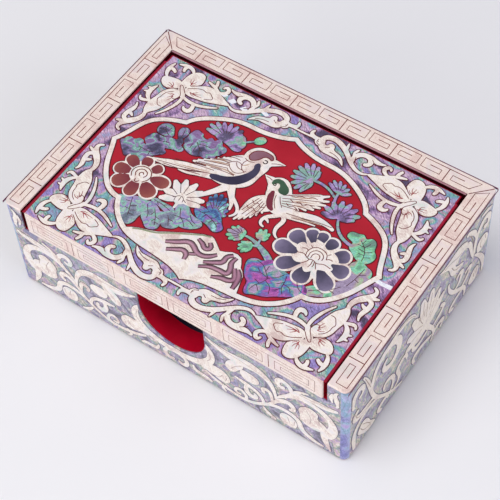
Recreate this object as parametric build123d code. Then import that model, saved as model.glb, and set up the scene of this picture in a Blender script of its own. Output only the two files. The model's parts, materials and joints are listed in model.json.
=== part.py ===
from build123d import *
import os

# Desk box for business cards, in lacquered wood inlaid with shell.
# The lid lies between the side and back walls and turns on two hidden pins near its back edge.
# The front wall stops under the lid and has a thumb notch.
# Millimetres. X runs along the front, Y to the back, Z up. The origin is under the middle of the box.

# Driving sizes
box_length = 110.0
box_depth = 75.5
box_height = 36.0
corner_radius = 2.0
veneer = 0.5
wall = 5.5
front_wall_thickness = 6.5
floor_thickness = 3.0
felt_thickness = 0.6
felt_inset = 1.5
lining = 1.0
lining_drop = 0.9
rim_edge_radius = 0.35

lid_thickness = 8.0
lid_recess = 0.4
lid_lining = 0.6
lid_lining_inset = 3.0
side_gap = 1.3
back_gap = 1.5
seat_gap = 0.3
lid_corner_radius = 0.6

notch_radius = 10.8
notch_bottom = 10.0

pin_radius = 1.0
pin_running_gap = 0.05
pin_from_lid_back = 6.5
pin_in_lid = 9.0
pin_end_gap = 0.5
bush_wall = 0.75
bush_length = 4.5
washer_radius = 2.0
washer_thickness = 1.0

relief = 0.15
inlay_margin = 0.4
ring_width = 1.35
tip_width = 0.1

# Sizes that follow
half_length = box_length / 2
half_depth = box_depth / 2
carcass_length = box_length - 2 * veneer
carcass_depth = box_depth - 2 * veneer
carcass_radius = corner_radius - veneer
floor_top = felt_thickness + floor_thickness
rim_bottom = box_height - veneer
lid_top = box_height - lid_recess
lid_bottom = lid_top - lid_thickness
lid_ground_bottom = lid_top - veneer
lid_ground_top = lid_top - relief
front_wall_top = lid_bottom - seat_gap
ground_length = box_length - 2 * relief
ground_depth = box_depth - 2 * relief
ground_radius = corner_radius - relief
inner_half_length = carcass_length / 2 - wall
inner_back = carcass_depth / 2 - wall
front_wall_back = front_wall_thickness - carcass_depth / 2
lid_half_length = inner_half_length - side_gap
lid_back = inner_back - back_gap
lid_front = -half_depth
lid_length = 2 * lid_half_length
lid_depth = lid_back - lid_front
lid_middle = (lid_front + lid_back) / 2
lining_top = front_wall_top - lining_drop
notch_axis_height = notch_bottom + notch_radius
pin_height = (lid_bottom + lid_top) / 2
pin_y = lid_back - pin_from_lid_back
bush_bore = pin_radius + pin_running_gap
bush_radius = bush_bore + bush_wall

BASE = (Align.CENTER, Align.CENTER, Align.MIN)
CORNER = (Align.MIN, Align.MIN, Align.MIN)


def save(shape, node):
    """Writes one sub-part."""
    os.makedirs("parts", exist_ok=True)
    export_step(shape, f"parts/{node}.step")


def block(low, high):
    """A box from its lowest corner to its highest."""
    size = [high[i] - low[i] for i in range(3)]
    return Pos(*low) * Box(*size, align=CORNER)


def rounded_slab(length, depth, radius, bottom, top):
    """An upright slab with rounded vertical edges."""
    sketch = RectangleRounded(length, depth, radius)
    return extrude(Pos(0, 0, bottom) * sketch, amount=top - bottom)


def mirrored(shape):
    """The same shape on the other side of the box."""
    return mirror(shape, about=Plane.YZ)


# Carcass of wood boards
def notch_cutter(front, back):
    """The thumb notch, from one depth to another: a half round with straight sides above it."""
    reach = back - front
    half_round = Rot(90, 0, 0) * Cylinder(notch_radius, reach)
    above = block(
        (-notch_radius, -reach / 2, 0),
        (notch_radius, reach / 2, box_height),
    )
    return Pos(0, (front + back) / 2, notch_axis_height) * (half_round + above)


def floor_board():
    return rounded_slab(carcass_length, carcass_depth, carcass_radius, felt_thickness, floor_top)


def outer_carcass(bottom):
    return rounded_slab(carcass_length, carcass_depth, carcass_radius, bottom, rim_bottom)


def left_wall():
    board = block(
        (-carcass_length / 2, -carcass_depth / 2, floor_top),
        (-inner_half_length, carcass_depth / 2, rim_bottom),
    )
    socket = Pos(-inner_half_length, pin_y, pin_height) * Rot(0, 90, 0) * Cylinder(
        bush_radius, 2 * bush_length
    )
    return (board & outer_carcass(floor_top)) - socket


def front_wall():
    board = block(
        (-inner_half_length, -carcass_depth / 2, floor_top),
        (inner_half_length, front_wall_back, front_wall_top),
    )
    return board - notch_cutter(-half_depth, front_wall_back + 1)


def back_wall():
    return block(
        (-inner_half_length, inner_back, floor_top),
        (inner_half_length, carcass_depth / 2, rim_bottom),
    )


def base_felt():
    return rounded_slab(
        box_length - 2 * felt_inset,
        box_depth - 2 * felt_inset,
        corner_radius,
        0,
        felt_thickness,
    )


# Velvet lining of the card well
def floor_lining():
    return block(
        (-inner_half_length, front_wall_back, floor_top),
        (inner_half_length, inner_back, floor_top + lining),
    )


def front_lining():
    sheet = block(
        (-inner_half_length, front_wall_back, floor_top + lining),
        (inner_half_length, front_wall_back + lining, front_wall_top),
    )
    return sheet - notch_cutter(front_wall_back - 1, front_wall_back + lining + 1)


def back_lining():
    return block(
        (-inner_half_length, inner_back - lining, floor_top + lining),
        (inner_half_length, inner_back, lining_top),
    )


def left_lining():
    return block(
        (-inner_half_length, front_wall_back + lining, floor_top + lining),
        (lining - inner_half_length, inner_back - lining, lining_top),
    )


# Hinge: a pin fixed in each end of the lid turns in a bush in the side wall
def left_bush():
    tube = Cylinder(bush_radius, bush_length) - Cylinder(bush_bore, bush_length)
    return Pos(-inner_half_length - bush_length / 2, pin_y, pin_height) * Rot(0, 90, 0) * tube


def left_washer():
    ring = Cylinder(washer_radius, washer_thickness) - Cylinder(bush_bore, washer_thickness)
    return Pos(-inner_half_length + washer_thickness / 2, pin_y, pin_height) * Rot(0, 90, 0) * ring


def left_pin():
    outer_end = -inner_half_length - bush_length + pin_end_gap
    inner_end = -lid_half_length + pin_in_lid
    rod = Cylinder(pin_radius, inner_end - outer_end)
    return Pos((outer_end + inner_end) / 2, pin_y, pin_height) * Rot(0, 90, 0) * rod


# Lid
def lid_outline(bottom, top):
    """The lid's full rectangle between two heights, with its corners eased."""
    sketch = Pos(0, lid_middle, bottom) * RectangleRounded(lid_length, lid_depth, lid_corner_radius)
    return extrude(sketch, amount=top - bottom)


def lid_front_band():
    band = lid_outline(lid_bottom, lid_ground_top)
    return band & block(
        (-lid_half_length, lid_front, lid_bottom),
        (lid_half_length, lid_front + veneer, lid_ground_top),
    )


def lid_board():
    board = lid_outline(lid_bottom, lid_ground_bottom)
    board &= block(
        (-lid_half_length, lid_front + veneer, lid_bottom),
        (lid_half_length, lid_back, lid_ground_bottom),
    )
    for side in (-1, 1):
        board -= Pos(side * lid_half_length, pin_y, pin_height) * Rot(0, 90, 0) * Cylinder(
            pin_radius, 2 * pin_in_lid
        )
    return board - lid_lining_sheet()


def lid_lining_sheet():
    return block(
        (-lid_half_length + lid_lining_inset, front_wall_back + lining, lid_bottom),
        (lid_half_length - lid_lining_inset, lid_back - lid_lining_inset, lid_bottom + lid_lining),
    )


# Shell veneers on the outside of the carcass
def front_ground():
    """One sheet: under the lid over the whole front, and up both ends of the side walls."""
    half = half_length - corner_radius
    front = relief - half_depth
    sheet = block((-half, front, felt_thickness), (half, veneer - half_depth, rim_bottom))
    under_lid = block(
        (-inner_half_length, front, front_wall_top),
        (inner_half_length, veneer - half_depth, rim_bottom),
    )
    return sheet - under_lid - notch_cutter(front - 1, veneer - half_depth + 1)


def back_ground():
    half = half_length - corner_radius
    return block(
        (-half, half_depth - veneer, felt_thickness),
        (half, half_depth - relief, rim_bottom),
    )


def left_ground():
    half = half_depth - corner_radius
    return block(
        (relief - half_length, -half, felt_thickness),
        (veneer - half_length, half, rim_bottom),
    )


def corner_strips():
    """Four quarter-round strips of shell, one at each upright edge."""
    ring = rounded_slab(ground_length, ground_depth, ground_radius, felt_thickness, rim_bottom)
    ring -= outer_carcass(felt_thickness)
    strips = []
    for side_x in (-1, 1):
        for side_y in (-1, 1):
            x = side_x * (half_length - corner_radius / 2)
            y = side_y * (half_depth - corner_radius / 2)
            corner = Pos(x, y, felt_thickness) * Box(corner_radius, corner_radius, box_height, align=BASE)
            strips += (ring & corner).solids()
    return Compound(children=strips)


def rim_slab():
    """The shell on top of the walls, open over the lid, with its outer upper edge eased."""
    slab = rounded_slab(ground_length, ground_depth, ground_radius, rim_bottom, box_height)
    slab = fillet(slab.faces().sort_by(Axis.Z)[-1].edges(), rim_edge_radius)
    opening = block(
        (-inner_half_length, -half_depth - 1, rim_bottom - 1),
        (inner_half_length, inner_back, box_height + 1),
    )
    return slab - opening


def rim_parts():
    """Left, back and right rims, mitred at the back corners."""
    slab = rim_slab()
    reach = box_length
    inner = inner_half_length
    miter = Polyline(
        (-inner, inner_back),
        (inner, inner_back),
        (inner + reach, inner_back + reach),
        (-inner - reach, inner_back + reach),
        close=True,
    )
    wedge = extrude(Pos(0, 0, rim_bottom - 1) * make_face(miter), amount=box_height)
    sides = slab - wedge
    left = [s for s in sides.solids() if s.center().X < 0][0]
    right = [s for s in sides.solids() if s.center().X > 0][0]
    return left, slab & wedge, right


# Inlay outlines
def smooth(*points):
    """The face inside a smooth closed line through the points."""
    return make_face(Spline(*points, periodic=True))


def angular(*points):
    """The face inside straight lines through the points."""
    return make_face(Polyline(*points, close=True))


def band(widths, *points):
    """A round-ended band along a smooth line. Its widths are spread evenly over its length."""
    path = Spline(*points)
    steps = 4 * (len(points) - 1)
    left = []
    right = []
    for i in range(steps + 1):
        t = i / steps
        place = t * (len(widths) - 1)
        k = min(int(place), len(widths) - 2)
        width = widths[k] + (widths[k + 1] - widths[k]) * (place - k)
        half = max(width, tip_width) / 2
        point = path @ t
        run = path % t
        left.append((point.X - run.Y * half, point.Y + run.X * half))
        right.append((point.X + run.Y * half, point.Y - run.X * half))
    first = (path @ 0) - (path % 0) * max(widths[0], tip_width) / 2
    last = (path @ 1) + (path % 1) * max(widths[-1], tip_width) / 2
    edges = Curve() + [
        Spline(*left),
        ThreePointArc(left[-1], last, right[-1]),
        Spline(*right[::-1]),
        ThreePointArc(right[0], first, left[0]),
    ]
    return make_face(edges)


def petals(root, tips, width, root_width=0.8):
    """Long petals or feathers from one root to each tip."""
    shapes = []
    for tip in tips:
        middle = ((root[0] + 2 * tip[0]) / 3, (root[1] + 2 * tip[1]) / 3)
        shapes.append(band((root_width, width, width, width / 2), root, middle, tip))
    return shapes


def rosette(centre, rings):
    """Petals round a centre. Each one has an angle, a distance and its two half sizes."""
    shapes = []
    for angle, distance, half_long, half_wide in rings:
        petal = Pos(distance, 0) * Ellipse(half_long, half_wide)
        shapes.append(Pos(*centre) * Rot(0, 0, angle) * petal)
    return shapes


def dot(x, y, radius):
    return Pos(x, y) * Circle(radius)


def fused(shapes):
    """One flat sketch from shapes that overlap."""
    return Sketch() + shapes


def both_sides(sketch):
    """A sketch with its mirror image across its own upright axis."""
    return sketch + mirror(sketch, about=Plane.YZ)


def four_ways(sketch):
    """A sketch repeated in all four corners."""
    half = both_sides(sketch)
    return half + mirror(half, about=Plane.XZ)


# Lid ornament. The drawing's own origin lies a little outside the lid's front left corner.
drawing_centre = (54.4, 34.9)
drawn_lid = (95.4, 68.0)


def centred(sketch):
    """A lid drawing moved to the lid's middle."""
    return Pos(-drawing_centre[0], -drawing_centre[1]) * sketch


def fitted_to_lid(sketch):
    """A centred lid drawing fitted to the lid's size."""
    return scale(sketch, by=(lid_length / drawn_lid[0], lid_depth / drawn_lid[1], 1))


def lid_plate(sketch):
    """An inlay of shell on the lid."""
    return extrude(Pos(0, lid_middle, lid_ground_top) * fitted_to_lid(sketch), amount=relief, dir=(0, 0, 1))


medallion_side_lobe = [(11.4, 35), (14, 41.3), (16.2, 45.7), (19.8, 48.4), (25, 50.4)]
medallion_top_lobe = [
    (25, 50.4), (27.3, 53.4), (31, 55.9), (35, 57.8), (39, 58.8), (44.5, 59), (50, 60), (54.4, 61.8),
]
medallion_lower_side_lobe = [(25, 19.3), (20.2, 20.8), (17.2, 23.7), (15, 27), (13.2, 31), (11.4, 35)]
medallion_bottom_lobe = [
    (54.4, 7.4), (52, 8.5), (49.4, 9.2), (46, 9.7), (42, 10), (38, 10.4),
    (33, 11.6), (29.4, 13.7), (27, 16), (25, 19.3),
]


def medallion_lobes():
    """The medallion's lobes, clockwise from its left point."""
    def from_centre(points):
        return [(x - drawing_centre[0], y - drawing_centre[1]) for x, y in points]

    def other_side(points):
        return [(-x, y) for x, y in points[::-1]]

    upper = from_centre(medallion_side_lobe)
    top = from_centre(medallion_top_lobe)
    lower = from_centre(medallion_lower_side_lobe)
    bottom = from_centre(medallion_bottom_lobe)
    return [
        upper,
        top,
        other_side(top),
        other_side(upper),
        other_side(lower),
        other_side(bottom),
        bottom,
        lower,
    ]


def medallion(outwards=0.0):
    """The lobed field in the middle of the lid, grown by a distance. Its corners stay sharp."""
    lines = [Spline(*points) for points in medallion_lobes()]
    corners = []
    for before, after in zip(lines[-1:] + lines[:-1], lines):
        first = Vector(-(before % 1).Y, (before % 1).X)
        second = Vector(-(after % 0).Y, (after % 0).X)
        miter = (first + second) / (1 + first.dot(second))
        corners.append((after @ 0) + miter * outwards)
    edges = Curve()
    for index, line in enumerate(lines):
        points = [corners[index]]
        for step in range(1, 9):
            run = line % (step / 9)
            points.append((line @ (step / 9)) + Vector(-run.Y, run.X) * outwards)
        points.append(corners[(index + 1) % len(corners)])
        edges += Spline(*points)
    return make_face(edges)


def butterfly():
    """The butterfly in the front left corner, with the small scrolls beside it."""
    return centred(fused([
        smooth(
            (15.2, 11), (13.4, 12.1), (12.3, 14), (11.9, 16.2), (11.4, 18.2), (11.4, 20.2), (12, 22.1),
            (13, 23.1), (13.7, 22), (14.8, 20.6), (15.8, 18.6),
            (16.5, 16.2), (17.2, 14), (17.8, 12.2), (17, 11),
        ),
        band((0.8, 1, 0.9, 0.7, 0.4), (18.5, 12), (18.7, 14.4), (18.1, 16.9), (17.1, 19.2), (15.8, 21.3)),
        smooth(
            (18, 10.6), (19.6, 11.1), (22, 10.9), (25, 10.4), (28, 9.4), (30.8, 8.4), (31.6, 8),
            (30, 7.1), (28, 6.2), (26, 5.5), (24, 5.1), (22, 5.5), (20.4, 6.5), (19, 7.5), (17.6, 8.6),
        ),
        band((0.8, 1, 0.9, 0.8, 0.4), (18.2, 12), (21, 12.8), (23.8, 12.7), (26.6, 11.8), (29.2, 10.5)),
        band(
            (0.9, 1.2, 1.4, 1.3, 0.6),
            (22.5, 12.8), (23.2, 14.3), (22.9, 15.7), (21.9, 15.9), (20.9, 15.2),
        ),
        smooth(
            (15.2, 10.6), (13.6, 11.7), (11.8, 11.8), (10.2, 11), (9.4, 9.8),
            (9.4, 8.8), (10.6, 8.1), (12.6, 7.7), (14.6, 7.7), (15.8, 8.8),
        ),
        smooth(
            (15, 7.8), (15.1, 5.8), (15.6, 4), (16.8, 2.6), (18.3, 2.1), (19.7, 2.6),
            (20.3, 4), (20.4, 5.8), (19.6, 7.2), (18, 8.4), (16.2, 9),
        ),
        band((1.8, 2.2, 1.4), (15.9, 9), (17, 10.6), (18.4, 12.2)),
        band((0.7, 1.1, 1.3, 1.1, 0.5), (10, 8.2), (9.1, 6.8), (8.9, 5.4), (9, 4.2), (9.3, 3.2)),
        band((0.9, 1.1, 0.9), (9, 5.1), (10.2, 5.2), (11.1, 5.7)),
        band((0.7, 1.1, 1.2, 1, 0.4), (16.1, 3.4), (15, 2.4), (13.6, 2), (12, 2.2), (10.7, 2.6)),
        band((1, 1.1, 0.9), (13.3, 2.2), (12.9, 3.2), (13.1, 4)),
        band((0.7, 0.9, 0.9, 0.5), (26.4, 5.6), (25, 4.8), (23.3, 4.1), (21.8, 3.7)),
        band((0.8, 1, 0.8), (24.5, 4.5), (24.3, 3.3), (23.9, 2.3)),
        band((0.7, 1, 1.2, 1.1, 0.6), (26.2, 5.4), (27.8, 5), (28.5, 3.8), (27.6, 2.8), (26.8, 3.4)),
    ]))


def front_vine():
    """Half of the scrolls along the lid's front edge."""
    return centred(fused([
        band(
            (0.5, 0.9, 1.1, 1.2, 1.4, 1.5, 1.5, 1.6, 1.5),
            (31.8, 8.1), (34, 8.6), (36.2, 7.8), (38.4, 6.2), (40.6, 4.3),
            (43, 2.9), (45.8, 2.3), (48, 3.2), (48.2, 4.8),
        ),
        smooth(
            (38.9, 9), (39.8, 7.6), (41, 6.6), (42.6, 6.1),
            (43.8, 5.5), (44.1, 4.6), (45, 4.1), (45.8, 4.6),
            (46.2, 5.3), (47, 5.1), (47.4, 4.2), (48.9, 4.2),
            (48.8, 5.6), (48, 6.8), (46.7, 7.7), (44.6, 7.9),
            (42.4, 7.9), (40.4, 8.3),
        ),
        band(
            (0.8, 1.3, 1.5, 1.5, 1.5, 1.5, 1),
            (37, 7.2), (37.7, 5.2), (37, 3.5), (35.2, 2.6), (33.5, 3.1), (32.9, 4.5), (33.9, 5.5),
        ),
        band((0.4, 1.3, 1.6, 1.2), (29, 2.6), (31.4, 3), (33.6, 2.6), (35.4, 2.5)),
        band((0.8, 1.1, 0.6), (37.9, 4.6), (38.2, 3.4), (37.9, 2.1)),
        band((0.7, 0.8, 0.4), (40.8, 3.6), (41.1, 2.6), (41.3, 1.6)),
        band((0.9, 1, 0.7), (48, 6), (48.9, 6), (49.7, 5.4)),
        band((1.3, 1.2, 1.2, 0.7), (48.6, 4.4), (50.6, 4.6), (51.9, 4), (51.9, 2.7)),
        band((0.6, 0.5, 0.6), (51.2, 4.8), (53, 4.9), (54.6, 4.9)),
    ]))


def side_vine():
    """Half of the scrolls along the lid's left edge."""
    return centred(fused([
        band(
            (1, 1.4, 1.6, 1.9, 1.7, 1.1, 0.6),
            (12.9, 22.6), (13, 24.4), (12.3, 26), (11, 27.4), (9.8, 28.8), (9.3, 30.4), (10.4, 31.5),
        ),
        band((0.9, 1, 0.6), (9.6, 28.4), (8.7, 28.6), (7.8, 28.9)),
        band((1, 1.3, 1.4, 1.2, 0.4), (10.4, 27.6), (8.7, 26.8), (8.8, 24.8), (9.3, 22.8), (8.9, 20.9)),
        band((0.9, 1, 0.6), (9, 24.8), (9.9, 25.1), (10.5, 25.5)),
        band((0.6, 0.9, 1, 0.5), (11.6, 18.7), (10, 18.9), (8.8, 19.1), (8.1, 18.3)),
        band((0.6, 1.2, 1.5, 1.3, 0.4), (11.2, 18.2), (9.9, 17.2), (9.3, 15.8), (9.4, 14.3), (10, 12.8)),
        band((0.7, 0.7, 0.4), (9.2, 15.9), (8.5, 15.9), (7.9, 16.1)),
        band((0.7, 0.7, 0.4), (9.3, 14.5), (8.7, 14.3), (8.1, 14.3)),
    ]))


def left_bird():
    return fused([
        smooth(
            (40.5, 38.4), (45, 37.7), (49.5, 38.8), (52.6, 41.8), (53.3, 46), (53.6, 49.5),
            (51, 51), (47, 50.3), (44, 48.4), (41.7, 46.2), (38.6, 41.6),
        ),
        smooth(
            (45.4, 49.5), (45.8, 52), (47.8, 54), (50.3, 54.4), (52.8, 53.6),
            (53.9, 51.8), (53.6, 49.5), (50, 48),
        ),
        angular((52.4, 52.4), (54.2, 52.7), (57.1, 52.5), (55.4, 51.3), (53.3, 49.8)),
        *petals(
            (45, 44.2),
            [(34.8, 40.4), (35.7, 41.4), (37, 42.4), (38.5, 43.5), (40, 44.7), (41.2, 45.8)],
            1.2,
        ),
        band((0.8, 2.3, 2.4, 2.2, 1.6), (24.8, 35.1), (28.4, 35.9), (32, 37.1), (36, 38.6), (42, 40)),
        band((0.5, 1, 1.2, 1.2), (33, 35.8), (35.6, 36.2), (38.6, 37.4), (43, 39)),
        band((0.5, 1, 1.2), (36.4, 36.4), (39, 37.3), (43, 38.6)),
        band((2.8, 2.2, 1.7, 1.4, 1), (48, 38.6), (46.6, 36.4), (45.2, 34.4), (43.8, 32.6), (42.6, 31)),
        band((2.6, 1.8, 1.2, 0.6), (48.6, 38.4), (50.6, 35.8), (51.9, 33.8), (52.5, 32.1)),
        band((0.8, 0.9, 0.9, 0.5), (50.4, 36.4), (52.8, 34.6), (54.6, 32.6), (53.8, 30.2)),
    ])


def right_bird():
    return fused([
        smooth(
            (56.6, 47), (58, 48.2), (60.2, 48.5), (62.2, 47.3), (63.6, 45.6),
            (64.4, 44), (61, 42.5), (58, 42.4), (56.5, 44.8),
        ),
        angular((53.9, 47), (56.8, 47.5), (58, 45.8), (56.8, 44.4)),
        smooth(
            (57.8, 43.8), (61, 44.9), (64.4, 43.6), (67.8, 40.6),
            (67.4, 38.4), (65, 37.2), (61.4, 37.6), (58.4, 40.6),
        ),
        smooth((61.5, 44.6), (66.5, 46.8), (71.6, 49), (71.2, 45.6), (68, 42.6), (64, 39.8), (61, 41)),
        *petals(
            (64, 43.4),
            [
                (72.6, 49.9), (73.4, 48.4), (73.3, 46.8), (72.6, 45.3), (71.4, 43.9),
                (69.8, 42.7), (68.1, 41.6), (66.7, 40.3), (65.2, 39), (63.4, 38.3),
            ],
            1.2,
        ),
        smooth(
            (60.6, 41.6), (57.2, 40.6), (55.5, 38.6), (54.9, 34.6),
            (55.7, 31.4), (58, 33.2), (60, 35.8), (62.2, 37.8),
        ),
        *petals(
            (58.4, 38.6),
            [(55.3, 30.1), (56.4, 30.8), (57.5, 31.7), (58.6, 32.9), (59.6, 34.3), (60.5, 35.8)],
            1.1,
        ),
        band((1.8, 1.9, 2.1, 1), (63.4, 38.4), (68.6, 40.3), (74, 41.7), (79.2, 41.1)),
        band((1.4, 1.3, 0.4), (64.4, 37.6), (69, 38.9), (74.6, 39.7)),
        band((1.3, 1.2, 1.1, 0.9, 0.5), (65, 37.9), (63.4, 36.3), (61.9, 34.6), (61.9, 33), (63.2, 32.2)),
        band((0.8, 0.8, 0.4), (61.9, 34.8), (62.8, 34.6), (63.6, 34)),
        band(
            (1.3, 1.2, 1.1, 0.9, 0.4),
            (65.8, 37.9), (66.8, 36.2), (66.5, 34.2), (66.7, 32.6), (68.4, 31),
        ),
    ])


def left_flower():
    petal_places = (
        (103, 4.2, 2.3, 2.2),
        (52, 4.5, 2.2, 2.1),
        (5, 6.2, 3.2, 2.5),
        (-36, 6.0, 3.2, 2.8),
        (-82, 5.0, 3.3, 2.5),
        (-129, 5.6, 3.1, 2.7),
        (191, 5.4, 2.9, 2.5),
        (150, 5.0, 2.9, 2.3),
    )
    return fused([dot(25.3, 28.8, 3.4)] + rosette((25.3, 28.8), petal_places))


def right_flower():
    petal_places = (
        (156, 8.2, 2.8, 2.8),
        (127, 7.6, 2.2, 2.3),
        (105, 6.9, 2.2, 2.2),
        (76, 6.3, 2.3, 2.3),
        (35, 7.0, 2.9, 2.7),
        (0, 7.9, 2.8, 2.8),
        (-39, 7.9, 3.5, 2.8),
        (-90, 6.3, 3.2, 2.9),
        (-137, 7.3, 3.6, 2.7),
        (-172, 8.8, 3.2, 2.8),
    )
    return fused([dot(80.3, 31, 6.4)] + rosette((80.3, 31), petal_places))


def half_blossom():
    tips = [
        (34.6, 25.4), (34, 28.2), (34.9, 31.9), (37.3, 33.5),
        (40.3, 33.8), (43, 32.5), (44.9, 30.2), (44.9, 28.3),
    ]
    return fused([
        *petals((39.2, 28), tips, 2.5, 1.6),
        dot(39.4, 27.8, 1.9),
        band((1, 0.9, 0.7), (39.4, 27), (39.6, 25.6), (39.6, 24.6)),
    ])


def fan_blossoms():
    return fused([
        *petals(
            (65.8, 52),
            [
                (66.1, 55.4), (65, 56.6), (63.3, 56.8), (61.5, 55.9), (60.5, 54.2), (60.1, 52.3),
                (60.5, 50.4), (61.7, 48.7), (63.3, 47.6), (65.1, 47.5), (65.9, 49.2),
            ],
            1.8,
        ),
        *petals(
            (78.2, 45.2),
            [
                (74.2, 44.5), (73.8, 46.6), (74.8, 48.8), (76.8, 50.2),
                (79, 50.5), (81.2, 49.9), (82.8, 48.4), (82.2, 46.6),
            ],
            2,
        ),
        *petals(
            (74.3, 52.3),
            [(70.4, 53.8), (71, 55.1), (72.6, 55.7), (74.3, 55.4), (75.8, 54.7), (77, 53.5)],
            1.4,
        ),
        *petals(
            (37.4, 51.8),
            [
                (31.5, 51.7), (31.4, 53.5), (32.6, 54.9), (34.3, 55.8),
                (36.2, 56.4), (38.2, 56.5), (40, 56),
            ],
            1.8,
        ),
        smooth(
            (34.6, 51.4), (35.4, 54), (38, 55.6), (40.6, 55.4), (42, 53.6),
            (42.8, 51.8), (43.6, 50), (42.4, 49.2), (40, 49.7), (37.4, 50.2),
        ),
    ])


def buds():
    return fused([
        smooth(
            (44.8, 55.4), (45.3, 56.8), (46.6, 57.5), (47.7, 56.9),
            (47.6, 55.6), (46.5, 54.6), (45.3, 54.5),
        ),
        smooth(
            (41, 54.9), (42.1, 54.7), (43.2, 53.4), (43.8, 51.8),
            (43.3, 50.9), (42.5, 51.8), (42.2, 53.2),
        ),
        *petals(
            (60.6, 27),
            [(59.3, 28.5), (57.8, 28.6), (56.7, 27.7), (56.3, 26.3), (56.8, 25), (58, 24.3), (59.3, 24.7)],
            1.7,
        ),
        *petals((65, 28.6), [(63.3, 29.4), (63.4, 30.9), (64.7, 31.5), (66.1, 30.8), (66.3, 29.5)], 1.6),
        *petals(
            (64.2, 25.4),
            [(62.6, 25.8), (61.5, 25.1), (61.3, 23.9), (61.9, 22.9), (63, 22.5), (63.9, 23.2)],
            1.4,
        ),
    ])


def stems():
    return fused([
        band((0.8, 0.7, 0.6), (66.4, 52.4), (70, 52.3), (73.8, 50.6)),
        band((0.6, 0.8, 0.7), (74.2, 52.4), (74.6, 49.6), (78, 45.6)),
        band((0.6, 0.8, 0.9), (78.8, 44.8), (80.8, 41.7), (86.6, 39.4)),
        band((0.5, 0.5), (43, 53.3), (45.4, 55.2)),
        band((0.5, 0.8, 1.2, 1.7, 1.9), (60.4, 27.1), (64, 27), (66.6, 26.1), (69, 25), (70.8, 23.8)),
        band((0.5, 0.6), (65, 28.8), (65.3, 26.8)),
        band((0.5, 0.7), (64, 25.5), (66, 26.2)),
    ])


def upper_left_leaves():
    return fused([
        smooth(
            (19.8, 43.8), (19.5, 45.6), (20.3, 47), (21.8, 47.5),
            (23.2, 47.1), (24.2, 45.8), (24.8, 44.4), (23.4, 43.5),
            (21.6, 43.2),
        ),
        smooth(
            (25.1, 47.4), (26.1, 48.8), (27.3, 48.7), (28, 47.4), (27.8, 45.6), (27, 44.4), (25.9, 45.4),
        ),
        smooth(
            (28.6, 48.6), (29.8, 49.9), (31.1, 49.4), (32.4, 48.5),
            (33.8, 48.6), (34.8, 49.5), (35.8, 48.6),
            (36.9, 49.4), (37.9, 48.9), (38.6, 47.7), (39.8, 47), (39.7, 45.7), (38.4, 45.1), (36.8, 45),
            (35.9, 43.6), (34.4, 42.2), (32.6, 41.8), (30.6, 42.3),
            (29.2, 43.4), (29, 45.2), (28.4, 46.8),
        ),
        smooth(
            (19.2, 41.6), (20.4, 42.8), (22.6, 42.8), (24.4, 43.5),
            (26.4, 43.7), (28.4, 42.9), (30, 41.9),
            (28.9, 41), (27, 40.4), (25, 39.6), (23, 39.3), (21, 39), (19.4, 39), (18.8, 40.2),
        ),
        smooth(
            (13.3, 35.9), (14.6, 36.9), (16.4, 37.4), (18.2, 38.1),
            (20, 37.9), (21.6, 38.1), (23.4, 38.2),
            (25, 38.9), (26, 38.2), (25.2, 36.8), (23.9, 35.6), (22.6, 34.3), (21.2, 34.9), (19.8, 34.2),
            (18.6, 32.8), (17.4, 31.8), (16.2, 32.6), (15, 33.6), (13.9, 34.7),
        ),
    ])


def lower_left_leaves():
    return fused([
        smooth(
            (24.8, 20.4), (27, 21.4), (29.6, 22.4), (32, 22.6), (33.4, 21.2), (33.8, 19), (33.3, 16.8),
            (33.2, 14.8), (32, 13.3), (30.2, 13.7), (28.6, 15), (27, 16.7), (25.6, 18.6),
        ),
        smooth(
            (31.8, 22.2), (34, 22.9), (36.8, 21.8), (38.8, 20), (39.8, 18), (39.7, 16.2),
            (38.5, 15.3), (36.9, 15.2), (35.5, 16.2), (34.3, 17), (33, 18.6), (31.8, 20.2),
        ),
        smooth(
            (37, 21.4), (39.4, 22.4), (42, 23.2), (44, 22.4), (44.4, 20.4), (43.6, 18.8),
            (42.1, 18), (40.6, 17.8), (39.4, 18.6), (38, 19.8),
        ),
        smooth(
            (32.9, 23.6), (33.8, 24.5), (35.6, 24.4), (37.6, 24.4),
            (39.4, 24.3), (40.8, 23.4), (41.4, 22.2),
            (40.2, 21.6), (38.4, 21.9), (36.2, 22.6), (34.2, 22.9),
        ),
        smooth(
            (39.9, 25.4), (40.6, 26.7), (42.4, 27.1), (44.2, 25.8),
            (46.6, 24.9), (48.6, 24.6), (49.5, 23.5),
            (48.8, 22.1), (47, 20.8), (45, 20.2), (43.2, 20.6), (41.8, 22.2), (40.6, 23.8),
        ),
    ])


def middle_leaves():
    return fused([
        smooth(
            (44.7, 27.6), (45.9, 28.9), (47.5, 28.8), (49, 28.5),
            (50.6, 28.9), (52.4, 28.4), (53.5, 27), (54.7, 25.7),
            (54.3, 24.4), (52.8, 23.7), (51.2, 24.2), (49.6, 24.7),
            (48, 24.8), (46.4, 25.3), (45.2, 26.3),
        ),
        *petals(
            (49.9, 28.8),
            [
                (46.6, 30.6), (46.1, 32.5), (46.8, 33.9), (48.2, 34.6),
                (49.8, 34.2), (51.2, 32.9), (52.2, 31.2), (52.6, 29.6),
            ],
            1.9,
        ),
    ])


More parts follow.
